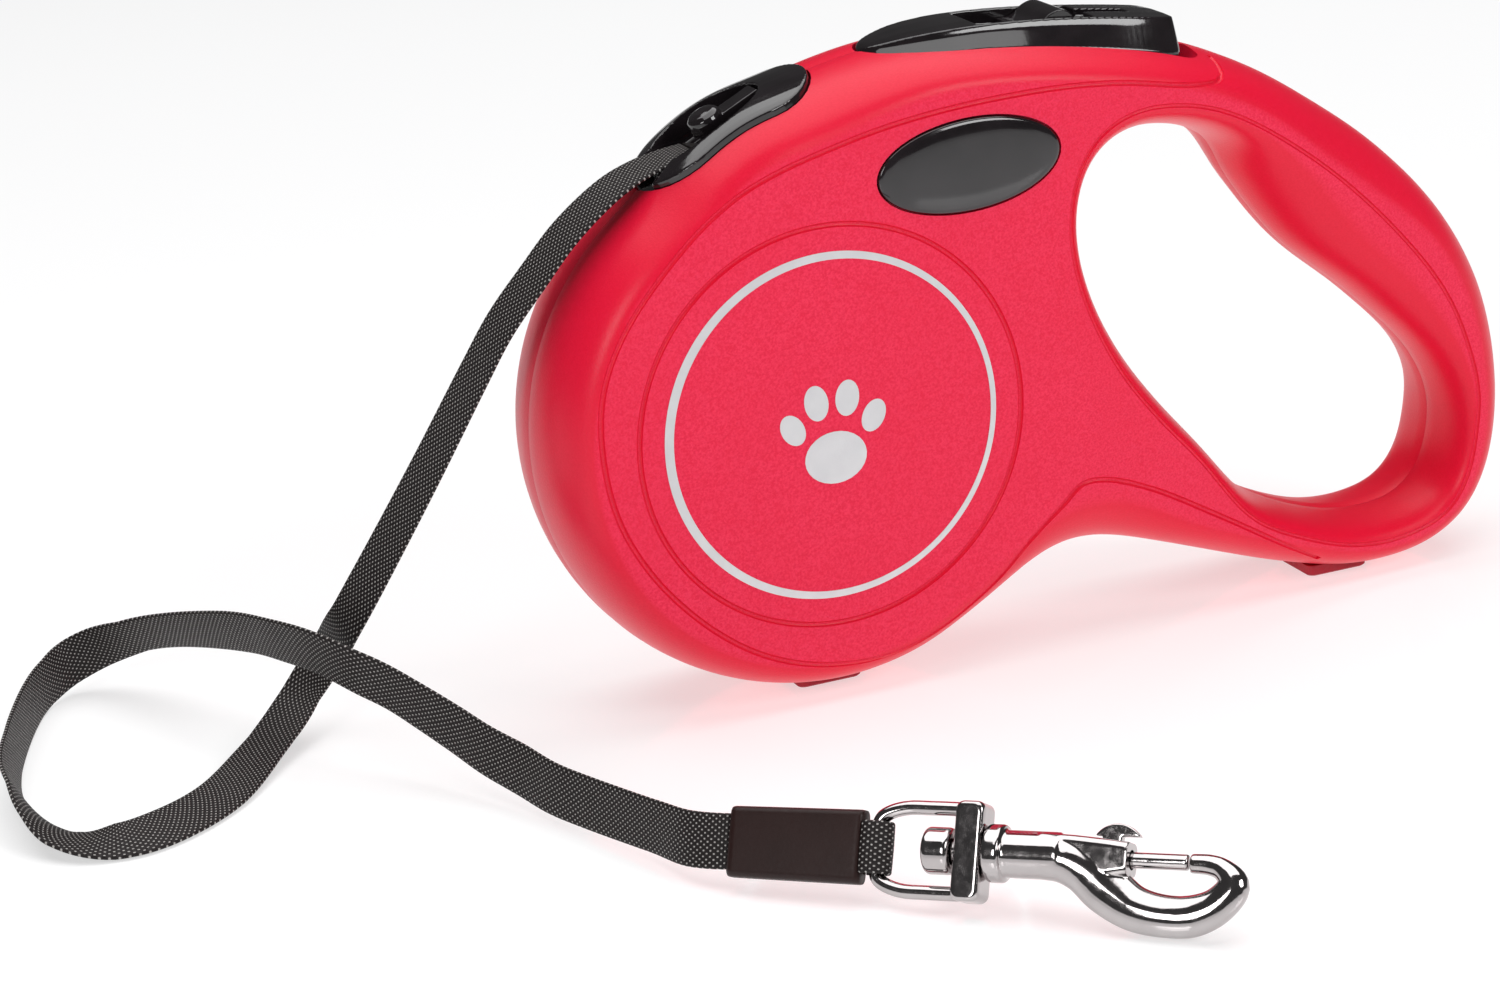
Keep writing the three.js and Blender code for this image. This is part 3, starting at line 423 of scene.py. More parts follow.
def webbing_material():
    """Flat polyester webbing: staggered raised floats, with a painted highlight: pale flecks on the float
    tops stand for the light they catch.
    """
    g = Graph("webbing")
    uv = g.node("ShaderNodeSeparateXYZ", {0: g.node("ShaderNodeTexCoord").outputs["UV"]})
    pitch_along, pitch_across = 0.55 * MM, 0.42 * MM      # between rows of staggered floats
    a = g.math("SINE", g.math("MULTIPLY", uv.outputs["X"], math.pi / pitch_along))
    b = g.math("SINE", g.math("MULTIPLY", uv.outputs["Y"], math.pi / pitch_across))
    weave = g.math("MULTIPLY", a, b)
    float_up = g.span(weave, -0.35, 0.9)
    # painted highlight: pale colour on the tops of the floats, where light would glint
    painted_glint = g.span(weave, 0.5, 0.85)
    thread = g.noise(2600, 3, 0.7)
    dark = g.mix(thread, (0.004, 0.002, 0.002, 1), (0.014, 0.009, 0.009, 1))
    glint_tone = g.mix(thread, (0.22, 0.20, 0.19, 1), (0.62, 0.60, 0.58, 1))
    g.feed(g.bsdf.inputs["Base Color"], g.mix(painted_glint, dark, glint_tone))
    g.feed(g.bsdf.inputs["Roughness"], g.span(thread, 0.3, 0.7, 0.42, 0.7))
    height = g.math("ADD", float_up, g.math("MULTIPLY", thread, 0.25))
    g.set(Specular_IOR_Level=0.3)
    g.bump(height, 0.00012, 0.9)
    return g.material


def silver_material():
    """Hot-stamped silver foil."""
    g = Graph("silver_print")
    g.feed(g.bsdf.inputs["Base Color"], g.mix(g.noise(250), (0.72, 0.72, 0.73, 1), (0.60, 0.60, 0.62, 1)))
    g.feed(g.bsdf.inputs["Roughness"], g.span(g.noise(3000, 2), 0.3, 0.7, 0.28, 0.42))
    g.set(Metallic=0.75)
    g.bump(g.noise(3400, 2), 0.00004, 0.5)
    return g.material


CORAL = coral_material()
GLOSS = gloss_material()
CHROME = chrome_material()
STEEL = steel_material()
NYLON = nylon_material()
RUBBER = rubber_material()
SLEEVE = sleeve_material()
WEBBING = webbing_material()
SILVER = silver_material()


def give(obj, material, body="housing", stands_for=()):
    obj.data.materials.clear()
    obj.data.materials.append(material)
    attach(obj, body)
    if stands_for:
        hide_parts(*stands_for)
    return obj


# ---- camera, floor and light -----------------------------------------------------------------
def camera():
    data = bpy.data.cameras.new("camera")
    data.lens = 100
    data.sensor_width = 36
    obj = bpy.data.objects.new("camera", data)
    right = (0.92508, -0.37142, -0.07925)
    up = (0.18651, 0.26253, 0.94673)
    back = (-0.33083, -0.89057, 0.31214)
    turn = Matrix((right, up, back)).transposed()
    obj.matrix_world = Matrix.Translation((-0.26672, -0.58754, 0.23755)) @ turn.to_4x4()
    data.clip_start = 0.02
    bpy.context.scene.collection.objects.link(obj)
    bpy.context.scene.camera = obj


def floor():
    """A plain white sweep, faintly glossy."""
    size = 4.0
    obj = obj_from("floor", [(-size, -size, 0), (size, -size, 0), (size, size, 0), (-size, size, 0)],
                   [(0, 1, 2, 3)], 1.0)
    g = Graph("floor")
    g.set(Base_Color=(0.56, 0.56, 0.563, 1), Roughness=0.1, IOR=1.4)
    g.set(Emission_Color=(1, 1, 1, 1), Emission_Strength=0.56)
    obj.data.materials.append(g.material)


def softbox(name, at, aim, width, height, power):
    data = bpy.data.lights.new(name, "AREA")
    data.shape = "RECTANGLE"
    data.size, data.size_y = width, height
    data.energy = power
    obj = bpy.data.objects.new(name, data)
    obj.location = at
    obj.rotation_euler = (Vector(aim) - Vector(at)).to_track_quat("-Z", "Y").to_euler()
    bpy.context.scene.collection.objects.link(obj)


def lighting():
    world = bpy.data.worlds.new("world")
    bpy.context.scene.world = world
    world.use_nodes = True
    world.node_tree.nodes["Background"].inputs[0].default_value = (0.86, 0.86, 0.87, 1)
    world.node_tree.nodes["Background"].inputs[1].default_value = 0.07
    softbox("overhead", (0.05, 0.3, 1.5), (0.05, 0.25, 0), 2.0, 1.9, 27)
    softbox("left", (-1.25, -0.95, 0.72), (-0.05, 0, 0.05), 0.5, 0.6, 6.5)
    softbox("front", (0.75, -1.35, 0.95), (0, 0, 0.05), 0.7, 0.6, 10)
    scene = bpy.context.scene
    scene.view_settings.view_transform = "Standard"
    scene.view_settings.look = "None"


camera()
floor()
lighting()

# ---- tape ------------------------------------------------------------------------------------
# The tape's centre line, from the outlet to the sleeve. Nearly all of these points, and WIDTHS below,
# are rounded from a numerical fit and weren't chosen by hand.
ROUTE = [(-53.8, 0, 88.8), (-57.4, 0, 88.3), (-62.3, -0.4, 87.2), (-67.7, -1.4, 85.2),
         (-75.3, -1.8, 79.9), (-81.3, -1.4, 73.5), (-86.7, 0, 66.7), (-90.9, 2, 59.3),
         (-98.7, 6, 44.8), (-106.8, 9.8, 30.5), (-113.3, 12.3, 19.8), (-115.2, 19.3, 12.6),
         (-118.7, 20.9, 7.4), (-123.3, 17.7, 4), (-129.4, 11, 2.2), (-139.7, -2.4, 1.7),
         (-149.3, -9.7, 1.9), (-155.7, -11.7, 1.9), (-161, -10.2, 1.8), (-165, -6.3, 2.2),
         (-167.1, -0.3, 3.3), (-167.8, 6.3, 4), (-167.6, 16.1, 4.2), (-164.7, 28.2, 4.2),
         (-157.5, 47.7, 4.2), (-153.2, 55.6, 4.4), (-148.5, 60, 5.4), (-143.7, 58.7, 7.6),
         (-138.4, 52.4, 10.6), (-134, 45, 12.9), (-126.6, 26.6, 16.8), (-123.3, 15.9, 18),
         (-120, 6.6, 18.3), (-116.5, -0.3, 17), (-112, -4.8, 14.5), (-108.4, -9.8, 12),
         (-105.1, -15.2, 9.6), (-102.3, -21.5, 7.6), (-99.3, -28.4, 6.2), (-97.1, -36.2, 5.4),
         (-94.3, -43.6, 5.1), (-89.1, -59.4, 5.6), (-87.2, -66.8, 6.2),
         (-85.04, -70.38, 6.56), (-82.75, -72.61, 6.71)]

# The way the tape's width points, keyed by the share of its length: across the nose, nearly level
# where it first lies on the floor, then turned up on its edge round the loop.
WIDTHS = [(0, 0, 1, 0), (0.03, -0.15, 0.98, 0.08), (0.1, -0.09, 0.95, 0.29),
          (0.22, -0.22, 0.9, 0.36), (0.262, -0.13, 0.8, 0.55), (0.285, -0.4, 0.9, 0.15),
          (0.31, -0.72, 0.7, 0), (0.36, -0.7, 0.67, 0.24), (0.395, -0.45, 0.83, 0.34),
          (0.415, 0.1, 0.95, 0.32), (0.437, 0.8, 0.55, -0.2), (0.453, 0.75, 0.25, -0.62),
          (0.475, 0.45, 0.05, -0.9), (0.525, 0.16, -0.04, -0.99), (0.6, 0.1, 0.02, -0.99),
          (0.65, 0.62, 0.14, -0.77), (0.72, 0.36, 0, -0.93), (0.77, 0.17, 0.12, -0.98),
          (0.82, -0.15, 0.36, -0.92), (0.88, -0.25, 0.05, -0.97), (0.96, -0.14, -0.12, -0.98),
          (1, -0.32, -0.385, -0.865)]


def tape_width_at(share):
    keys = np.array(WIDTHS)
    return np.array([np.interp(share, keys[:, 0], keys[:, k]) for k in (1, 2, 3)])


def ribbon(name, line, width_at, wide, thick):
    """A woven band along a line: slightly crowned faces and rounded, ribbed edges."""
    across = 16
    half, t2 = wide / 2, thick / 2
    profile = []
    for k in range(across + 1):
        s = -1 + 2 * k / across
        profile.append((s * (half - t2), t2 * (0.86 + 0.14 * (1 - s * s))))
    edge = [(half - t2 + t2 * math.cos(a), t2 * 0.86 * math.sin(a)) for a in (1.05, 0.5, 0, -0.5, -1.05)]
    top = profile + edge
    section = top + [(-x, -y) for x, y in top]
    tangents = np.gradient(line, axis=0)
    length = np.concatenate([[0], np.cumsum(np.linalg.norm(np.diff(line, axis=0), axis=1))])
    rings, uv = [], []
    for i, p in enumerate(line):
        t = unit(tangents[i])
        w = width_at(length[i] / length[-1])
        w = unit(w - t * w.dot(t))
        n = np.cross(w, t)
        pulse = 0.035 * math.sin(2 * math.pi * length[i] / 1.72)
        for x, y in section:
            edge_rib = pulse if abs(x) > half - t2 else 0
            rings.append(p + w * (x + math.copysign(edge_rib, x)) + n * y)
            uv.append((length[i] * MM, x * MM))
    n = len(section)
    faces = [(k * n + i, k * n + (i + 1) % n, (k + 1) * n + (i + 1) % n, (k + 1) * n + i)
             for k in range(len(line) - 1) for i in range(n)]
    last = (len(line) - 1) * n
    faces += [tuple(range(n))[::-1], tuple(range(last, last + n))]
    return shade(obj_from(name, rings, faces, MM, uv)), length[-1]


def free_tape():
    line = spline(ROUTE, step=0.5)
    band, length = ribbon("tape_band", line, tape_width_at, TAPE_WIDTH, TAPE_THICK)
    give(band, WEBBING, stands_for=("tape_free",))
    return band, line, length


BAND, BAND_LINE, BAND_LENGTH = free_tape()

# ---- end fittings ----------------------------------------------------------------------------
UP = Vector((0, 0, 1)) * math.sin(math.radians(LEAN))
UP += Vector((-ALONG.y, ALONG.x, 0)).normalized() * math.cos(math.radians(LEAN))
UP = (UP - ALONG * UP.dot(ALONG)).normalized()
ACROSS = ALONG.cross(UP)
END_FRAME = Matrix((ALONG, UP, ACROSS)).transposed().to_4x4()
END_FRAME.translation = END


def at_end(obj):
    """Puts a piece drawn in the fittings' own frame, in millimetres, where it lies."""
    obj.data.transform(Matrix.Scale(MM, 4) @ END_FRAME @ Matrix.Scale(1 / MM, 4))
    obj.data.update()
    return obj


def rod_along(name, r, u0, u1, v=0, edge=0.35):
    """A round bar on the fittings' line, its ends eased."""
    stations = [(u0, r - edge), (u0 + 0.3 * edge, r - 0.3 * edge), (u0 + edge, r), (u1 - edge, r),
                (u1 - 0.3 * edge, r - 0.3 * edge), (u1, r - edge)]
    turn = np.arange(40) * 2 * math.pi / 40
    rings = [[(u, v + q * math.cos(a), q * math.sin(a)) for a in turn] for u, q in stations]
    return skin(name, rings)


def ring_piece():
    top, bar, rod = 5.9, 11.6, 1.0
    corner = [(24.5, top), (19.5, top), (15.6, top - 0.1), (13.2, top - 0.75), (12, top - 1.5),
              (bar, top - 2.3)]
    path = corner + [(bar, 0)] + [(u, -v) for u, v in reversed(corner)]
    line = spline([(u, v, 0) for u, v in path], step=0.4)
    bow = tube("bow", line, rod + 0.05, 20)
    outline = rounded_rect(2.15, 7.0, 1.2, 5)
    layers = ((-2.7, 0.82), (-2.35, 0.95), (-1.9, 1), (1.9, 1), (2.35, 0.95), (2.7, 0.82))
    block = skin("block", [[(25.65 + x * q, y * (1 - (1 - q) * 0.3), w) for x, y in outline]
                           for w, q in layers])
    ring = cast(join("ring", [bow, block]), 0.16, 7)
    cut(ring, rod_along("bore", 1.9, 20, 34, edge=0.01))
    ring.name = "chrome_ring"
    give(at_end(shade(ring, 50)), CHROME, "ring", ("swivel_ring",))


def hook_piece():
    parts = [rod_along("rivet", 3.35, 18.9, 23.0, edge=0.6), rod_along("stem", 1.65, 21, 33),
             rod_along("collar", 4.1, 28.1, 30.7, edge=0.45), rod_along("barrel", 3.35, 30.2, 39, edge=0.2)]
    # The bent part: u, v, half width in its plane, half thickness across it.
    stations = [(36, 0, 3.35, 3.35), (39, -0.4, 3.3, 3.2), (42, -1.6, 3.4, 2.8), (45.5, -4.2, 3.6, 2.5),
                (49.5, -6.6, 3.2, 2.4), (54, -7.5, 2.95, 2.3), (58, -7.3, 2.9, 2.2),
                (61.5, -5.6, 2.55, 2.1), (63.4, -2.9, 2.25, 1.9), (61.8, -0.9, 1.6, 1.6),
                (60, -0.3, 1.45, 1.4), (57.3, -0.2, 1.35, 1.3)]
    line = spline(stations, step=0.5)
    ahead = np.gradient(line[:, :2], axis=0)
    rings = []
    for (u, v, a, b), (du, dv) in zip(line, ahead):
        t = unit(np.array((du, dv)))
        rings.append([(u - t[1] * a * math.cos(q), v + t[0] * a * math.cos(q), b * math.sin(q))
                      for q in np.arange(32) * 2 * math.pi / 32])
    parts.append(skin("bend", rings))
    # The gate's cheek runs level along the top, from the barrel to the gate's face.
    cheek = []
    for u, top, low in ((36, 3.05, -3), (41, 2.9, -3), (46, 2.55, -2.9), (48.8, 2.25, -2.4)):
        mid, high = (top + low) / 2, (top - low) / 2
        cheek.append([(u, mid + y, w) for y, w in rounded_rect(high, 2.4, 1.1)])
    parts.append(skin("cheek", cheek))
    hook = cast(join("hook", parts), 0.16, 8)
    cut(hook, rod_along("bore", 1.4, 35.5, 52, -0.1, edge=0.01))
    slot = rounded_rect(4.9, 3, 0.5)
    cut(hook, skin("slot", [[(42.8 + x, 3 + y, w) for x, y in slot] for w in (-0.95, 0.95)]))
    hook.name = "chrome_hook"
    give(at_end(shade(hook, 50)), CHROME, "hook", ("hook_body",))


def bolt_piece():
    pin = rod_along("pin", 1.12, 41.6, 57, -0.1, edge=0.3)
    sweep = np.radians(np.linspace(33, 147, 17))
    half = [(46.8 + 3.9 * math.cos(a), 0.9 + 3.9 * math.sin(a)) for a in sweep]
    moon = half + [(44.6, 3), (44.6, 0), (47.4, 0), (47.4, 3)]
    knob = skin("knob", [[(u, v, w) for u, v in moon] for w in (-0.7, 0.7)])
    bolt = cast(join("bolt", [pin, knob]), 0.12, 5)
    bolt.name = "chrome_bolt"
    give(at_end(bolt), CHROME, "bolt", ("hook_bolt",))


def sleeve_piece():
    """The moulded sleeve: crowned faces, eased ends and a little taller towards the ring."""
    start, end = -10.7, 9.5
    middle, reach = (start + end) / 2, (end - start) / 2
    rings = []
    for k in range(41):
        off = -1 + 2 * k / 40
        near = min(1, (1 - abs(off)) * reach / 0.7)
        ease_in = 1 - 0.35 * (1 - math.sqrt(1 - (1 - near) ** 2)) / 1.75
        swell = 0.12 * math.cos(off * math.pi / 2)
        tall = (5.15 + 0.1 * off) * (0.94 + 0.06 * ease_in)
        outline = rounded_rect(1.7 * ease_in + swell * 0.4, tall, 1.1, 7)
        rings.append([(middle + off * reach, v, w) for w, v in outline])
    give(at_end(shade(skin("sleeve", rings), 60)), SLEEVE, "housing", ("tape_sleeve",))


def end_loop():
    """The tape's end, out of the sleeve, round the ring's bar and back in."""
    reach, bar, out = 9.6, 11.6, 1.8
    line = [(reach, 0, -out * 0.75), (bar - 1.2, 0, -out)]
    line += [(bar + out * math.sin(a), 0, -out * math.cos(a)) for a in np.linspace(0, math.pi, 13)]
    line += [(bar - 1.2, 0, out), (reach, 0, out * 0.75)]
    path = spline(line, step=0.3)
    loop, _ = ribbon("tape_loop", path, lambda share: np.array((0, 1.0, 0)), 7.4, TAPE_THICK)
    give(at_end(loop), WEBBING, "housing", ("tape_end",))


ring_piece()
hook_piece()
bolt_piece()
sleeve_piece()
end_loop()


# ---- housing ---------------------------------------------------------------------------------
def half_at(x):
    """Half thickness, easing into the taper."""
    soft = 6.0
    past = (x - TAPER_FROM) / soft
    return HALF - TAPER * soft * np.where(past > 30, past, np.log1p(np.exp(np.minimum(past, 30))))


OUTLINE = [(DRUM[0] + DRUM_R * math.cos(math.radians(a)), DRUM[1] + DRUM_R * math.sin(math.radians(a)))
           for a in range(-58, -233, -12)]
OUTLINE += [(-62.3, 84.6), (-57.7, 89.1), (-48.3, 94.9), (-38.6, 97.3), (-29, 99.5), (-19, 100.8),
            (-9, 100.6), (2, 99.4), (13, 97.5), (24, 95), (34, 91.6), (44, 86.5), (53, 80.4),
            (63.3, 72.4), (74.3, 60.5), (81.4, 47.4), (84.2, 35.6), (84.4, 23.9), (82.1, 13.6),
            (77.3, 6.2), (70, 2), (62.5, 0.6), (53, 0.7), (40.9, 3.8), (31.1, 7.3), (21.1, 11),
            (11, 14.2), (3.8, 14.9), (-3, 13.3), (-9.2, 10.6)]
# The hand hole: its edge on the side face, then its waist on the parting plane.
HOLE = [(22.7, 86.4, 20.5, 81.8), (30.4, 84.3, 27.5, 80.4), (38.2, 80.1, 33.6, 77.2),
        (51.1, 70.3, 38.2, 69), (63.6, 57.5, 47, 57.2), (71.9, 46.1, 59.6, 46), (76.2, 35.3, 70, 34.9),
        (77.6, 28, 73.6, 27.3), (77.1, 22.2, 73.9, 21.5), (74.8, 13.6, 71.6, 14), (70.5, 8.5, 67.5, 10.3),
        (62, 6.2, 61.5, 9), (53, 6.6, 54, 9.6), (43, 10, 44.6, 12.9), (33.4, 15.4, 36, 17.9),
        (23.6, 27.9, 26.7, 29), (16, 36.9, 19.1, 38.5), (10.1, 45.4, 13.1, 47.5), (5.3, 55.9, 8.6, 57),
        (3.1, 65, 6.6, 65.6), (3.1, 72.2, 6.9, 72.6), (5.1, 79.1, 9.2, 77.6), (9.3, 84.1, 12.6, 80.3),
        (15.6, 86.6, 16.3, 81.6)]
SEAM = soften(spline(OUTLINE, True, 1.0), 3.0)
PAIRS = soften(spline(HOLE, True, 1.2), 2.0)
FACE_HOLE, WAIST = PAIRS[:, :2], PAIRS[:, 2:]


def rim_at(loop):
    width = np.full(len(loop), float(RIM))
    for x, z, extra, reach in RIM_BUMPS:
        width += extra * np.exp(-((loop[:, 0] - x) ** 2 + (loop[:, 1] - z) ** 2) / reach ** 2)
    return width


def roundness(u):
    return 1 - math.sqrt(max(0, 1 - u * u))


def level(loop, y):
    return [(x, y * half_at(x), z) for x, z in loop]


def wall_rings(seam, rim, hole, waist, side, steps, chamfer):
    """Rings of the outer rim, and of the hole's wall, from the parting plane to the side face."""
    outer, inner = [], []
    for k in range(steps + 1):
        u = math.sin(math.pi / 2 * k / steps)
        start, nick = (0.02, chamfer) if k == 0 else (0.0, 0.0)
        ring = inset(seam, rim * roundness(u) + nick)
        outer.append([(x, side * max(u * half_at(x), start), z) for x, z in ring])
        at = inset(waist + (hole - waist) * roundness(u), -nick)
        inner.append([(x, side * max(u * half_at(x), start), z) for x, z in at])
    return outer, inner


def fill(outer_ring, inner_ring=(), extra=()):
    """Triangles inside a loop and outside another, using loose points too, as index triples."""
    points = [Vector((v[0], v[2])) for v in list(outer_ring) + list(inner_ring) + list(extra)]
    n, m = len(outer_ring), len(inner_ring)
    edges = [(i, (i + 1) % n) for i in range(n)] + [(n + i, n + (i + 1) % m) for i in range(m)]
    verts, _, faces, origin, _, _ = delaunay_2d_cdt(points, edges, [], 0, 1e-7)
    back = [o[0] for o in origin]
    outer_poly = np.array([(v[0], v[2]) for v in outer_ring])
    inner_poly = np.array([(v[0], v[2]) for v in inner_ring])
    kept = []
    for face in faces:
        centre = sum((verts[i] for i in face), Vector((0, 0))) / len(face)
        if inside(centre, outer_poly) and not (m and inside(centre, inner_poly)):
            kept.append(tuple(back[i] for i in face))
    return kept


def face_grid(outer_ring, inner_ring, y_share):
    """Loose points on the flat side face, so that its triangles can follow the taper."""
    outer_poly = np.array([(v[0], v[2]) for v in outer_ring])
    inner_poly = np.array([(v[0], v[2]) for v in inner_ring]) if len(inner_ring) else None
    points = [(x, y_share * half_at(x), z) for x in np.arange(-80, 86, 4.0) for z in np.arange(4, 98, 4.0)]
    return [g for g in points if clear_of(g, outer_poly, inner_poly)]


def inside(p, poly):
    x, z = poly[:, 0], poly[:, 1]
    x2, z2 = np.roll(x, -1), np.roll(z, -1)
    crosses = (z > p[1]) != (z2 > p[1])
    with np.errstate(divide="ignore", invalid="ignore"):
        at = x + (p[1] - z) / (z2 - z) * (x2 - x)
    return bool(np.count_nonzero(crosses & (p[0] < at)) % 2)


def half_body(name, side):
    """One closed half of the housing, from the parting plane outwards, with half of the hand hole."""
    steps, chamfer = 14, 0.25
    outer, inner = wall_rings(SEAM, rim_at(SEAM), FACE_HOLE, WAIST, side, steps, chamfer)
    n, m = len(outer[0]), len(inner[0])
    verts = [v for ring in outer + inner for v in ring]
    base = n * (steps + 1)
    faces = []
    for start, count in ((0, n), (base, m)):
        for k in range(steps):
            a, b = start + k * count, start + (k + 1) * count
            faces += [(a + i, a + (i + 1) % count, b + (i + 1) % count, b + i) for i in range(count)]
    grid = face_grid(outer[-1], inner[-1], side)
    index = [steps * n + i for i in range(n)] + [base + steps * m + i for i in range(m)]
    index += [len(verts) + i for i in range(len(grid))]
    verts += grid
    faces += [tuple(index[i] for i in face) for face in fill(outer[-1], inner[-1], grid)]
    index = list(range(n)) + [base + i for i in range(m)]
    faces += [tuple(index[i] for i in face) for face in fill(outer[0], inner[0])]
    return tidy_normals(obj_from(name, verts, faces))


def volume(name, from_deg, to_deg, skin_mm, steps, thin=1):
    """The housing's volume without the hole between two levels of its rim, shrunk by a skin."""
    seam = inset(SEAM[::thin], skin_mm)
    rim = rim_at(seam)
    share = (HALF - skin_mm) / HALF
    rings = []
    for angle in np.linspace(from_deg, to_deg, steps + 1):
        u = math.sin(math.radians(angle))
        rings.append([(x, u * share * half_at(x), z) for x, z in inset(seam, rim * roundness(u))])
    n = len(seam)
    verts = [v for ring in rings for v in ring]
    faces = [(k * n + i, k * n + (i + 1) % n, (k + 1) * n + (i + 1) % n, (k + 1) * n + i)
             for k in range(steps) for i in range(n)]
    for ring, start, angle in ((rings[0], 0, from_deg), (rings[-1], steps * n, to_deg)):
        grid = face_grid(ring, (), share * math.sin(math.radians(angle)))
        index = [start + i for i in range(n)] + [len(verts) + i for i in range(len(grid))]
        verts += grid
        faces += [tuple(index[i] for i in face) for face in fill(ring, (), grid)]
    return tidy_normals(obj_from(name, verts, faces))


def hole_tool(skin_mm, thin):
    """The hand hole's volume, grown by a skin, long enough to pass both faces."""
    hole, waist = inset(FACE_HOLE[::thin], -skin_mm), inset(WAIST[::thin], -skin_mm)
    rings = [[(x, -HALF - 4, z) for x, z in hole]]
    for angle in np.linspace(-90, 90, 11):
        u = math.sin(math.radians(angle))
        at = waist + (hole - waist) * roundness(u)
        rings.append([(x, u * (half_at(x) - skin_mm), z) for x, z in at])
    rings.append([(x, HALF + 4, z) for x, z in hole])
    return skin("hole", rings)


def clear_of(point, outer_poly, inner_poly):
    p = (point[0], point[2])
    if not inside(p, outer_poly) or (inner_poly is not None and inside(p, inner_poly)):
        return False
    both = outer_poly if inner_poly is None else np.concatenate([outer_poly, inner_poly])
    return np.min(np.hypot(both[:, 0] - p[0], both[:, 1] - p[1])) > 1.4


def surface_y(x, z):
    """Depth of the outer skin at a point of the side view, over the rim too."""
    gaps = np.hypot(SEAM[:, 0] - x, SEAM[:, 1] - z)
    near = int(np.argmin(gaps))
    share = min(1.0, gaps[near] / rim_at(SEAM[near:near + 1])[0])
    return float(half_at(x)) * math.sqrt(max(0, 1 - (1 - share) ** 2))


PANEL = [(33.2, 91.4), (33.0, 90.0), (31.7, 88.9), (26.2, 89), (12.8, 91.6), (0.6, 92.6), (-19.1, 92),
         (-34.2, 89.7), (-51.6, 84.5), (-63.6, 75.8), (-73.2, 64.6), (-77, 54.5), (-76.3, 39.3),
         (-71.4, 27.8), (-62.8, 17.3), (-53.8, 10.6), (-44.4, 7.1), (-33.3, 6.2), (-23.9, 8.5),
         (-13.5, 14.6), (-7.3, 20.2), (-1.2, 25.1), (2.4, 27.9), (6.6, 27.8), (14.5, 24.7),
         (26.6, 17.6), (38.9, 9.8), (46.4, 5.2)]


def groove(name, line, side, radius=0.5, wrap=False):
    """A round cutter whose middle runs along the skin."""
    path = [(x, side * surface_y(x, z), z) for x, z in line]
    return tube(name, path, radius, 10, wrap)


# The brake button, from its tip: x, its top, the shoulder where its side turns upright, its
# underside, and its half width below the shoulder.
BUTTON = [(-24.7, 100, 99.7, 98.6, 0.5), (-24.2, 100.4, 99.6, 97, 2.1), (-22.5, 101, 99.5, 93.4, 4.6),
          (-18, 101.8, 99.5, 93.4, 7.2), (-12.5, 102.2, 99.3, 93.5, 8.6), (-6, 102.2, 98.9, 93.6, 9),
          (3.6, 101.6, 97.6, 93.6, 9), (14, 100.4, 95.8, 93.3, 9), (24, 98.9, 93.7, 92.7, 9),
          (26.4, 98.5, 93.3, 92.5, 8.4), (27.3, 98.3, 93.2, 92.4, 7.5), (27.6, 98.2, 93.2, 92.4, 6.6)]
BUTTON_POCKET = [(-25.3, 104), (-25.3, 97.6), (-24.9, 92.8), (-8, 92), (10, 90.8), (28.2, 88.5),
                 (30.2, 90.4), (31, 93), (31, 104)]


def deck_floor(x):
    return 99.33 - 0.091 * x


def pocket_plan(grow):
    """The button's pocket seen from above: its own outline and a clearance, with a bowl behind."""
    rows = spline([(x, half) for x, _, _, _, half in BUTTON[:9]], step=1.0)
    near = [(x - grow, -half - grow) for x, half in rows]
    near += [(27 + 4 * math.sin(a), -9 - grow + 4 * (1 - math.cos(a)))
             for a in np.linspace(0, math.pi / 2, 9)]
    return near + [(x, -y) for x, y in reversed(near)]


def nose_frame():
    turn = Matrix.Rotation(-math.radians(NOSE_TILT), 4, "Y")
    return Matrix.Translation((NOSE_AT[0] * MM, 0, NOSE_AT[1] * MM)) @ turn


def on_nose(name, points, n0, n1):
    obj = plan(name, points, n0, n1)
    obj.data.transform(nose_frame())
    return obj


def stadium(x0, x1, h):
    right = [(x1 - h + h * math.cos(a), h * math.sin(a))
             for a in np.linspace(-math.pi / 2, math.pi / 2, 18)]
    left = [(x0 + h + h * math.cos(a), h * math.sin(a))
            for a in np.linspace(math.pi / 2, 1.5 * math.pi, 18)]
    return right + left


def oval(grow):
    a, b, tilt = BADGE["a"] + grow, BADGE["b"] + grow, math.radians(BADGE["tilt"])
    points = []
    for q in np.arange(72) * 2 * math.pi / 72:
        x, z = a * math.cos(q), b * math.sin(q)
        points.append((BADGE["x"] + x * math.cos(tilt) - z * math.sin(tilt),
                       BADGE["z"] + x * math.sin(tilt) + z * math.cos(tilt)))
    return points


def front_shell():
    """A moulded half: hollow, grooved, and open for the nose, the button, the badge and the feet."""
    side = -1
    body = half_body("coral_front", side)
    cavity = volume("cavity", -90, 0, WALL, 5, 3)
    cut(body, cut(cavity, hole_tool(WALL, 3)))
    for foot_x in (DRUM[0], GRIP_FOOT_X):
        cut(body, prism("foot", [(foot_x - 5.8, -2), (foot_x + 5.8, -2), (foot_x + 5.8, 2.1),
                                 (foot_x - 5.8, 2.1)], -6.3, 6.3))
    circle = [(DRUM[0] + DISC_R * math.cos(a), DRUM[1] + DISC_R * math.sin(a))
              for a in np.arange(160) * 2 * math.pi / 160]
    cut(body, groove("disc", circle, side, wrap=True))
    cut(body, groove("panel", spline(PANEL, step=1.0), side))
    cut(body, groove("edge", FACE_HOLE, side, 0.4, True))
    badge_y = sorted((side * (HALF - 1.3), side * (HALF + 4)))
    cut(body, prism("badge_cut", oval(0.3), *badge_y))
    cut(body, on_nose("nose_cut", stadium(-17.1, 15.6, 10.1), -8.3, 12))
    pocket = prism("pocket", BUTTON_POCKET, -12, 12)
    cut(body, combine(pocket, plan("plan", pocket_plan(0.3), 60, 120), "INTERSECT"))
    return give(shade(body, 38), CORAL, "housing", ("front_shell",))


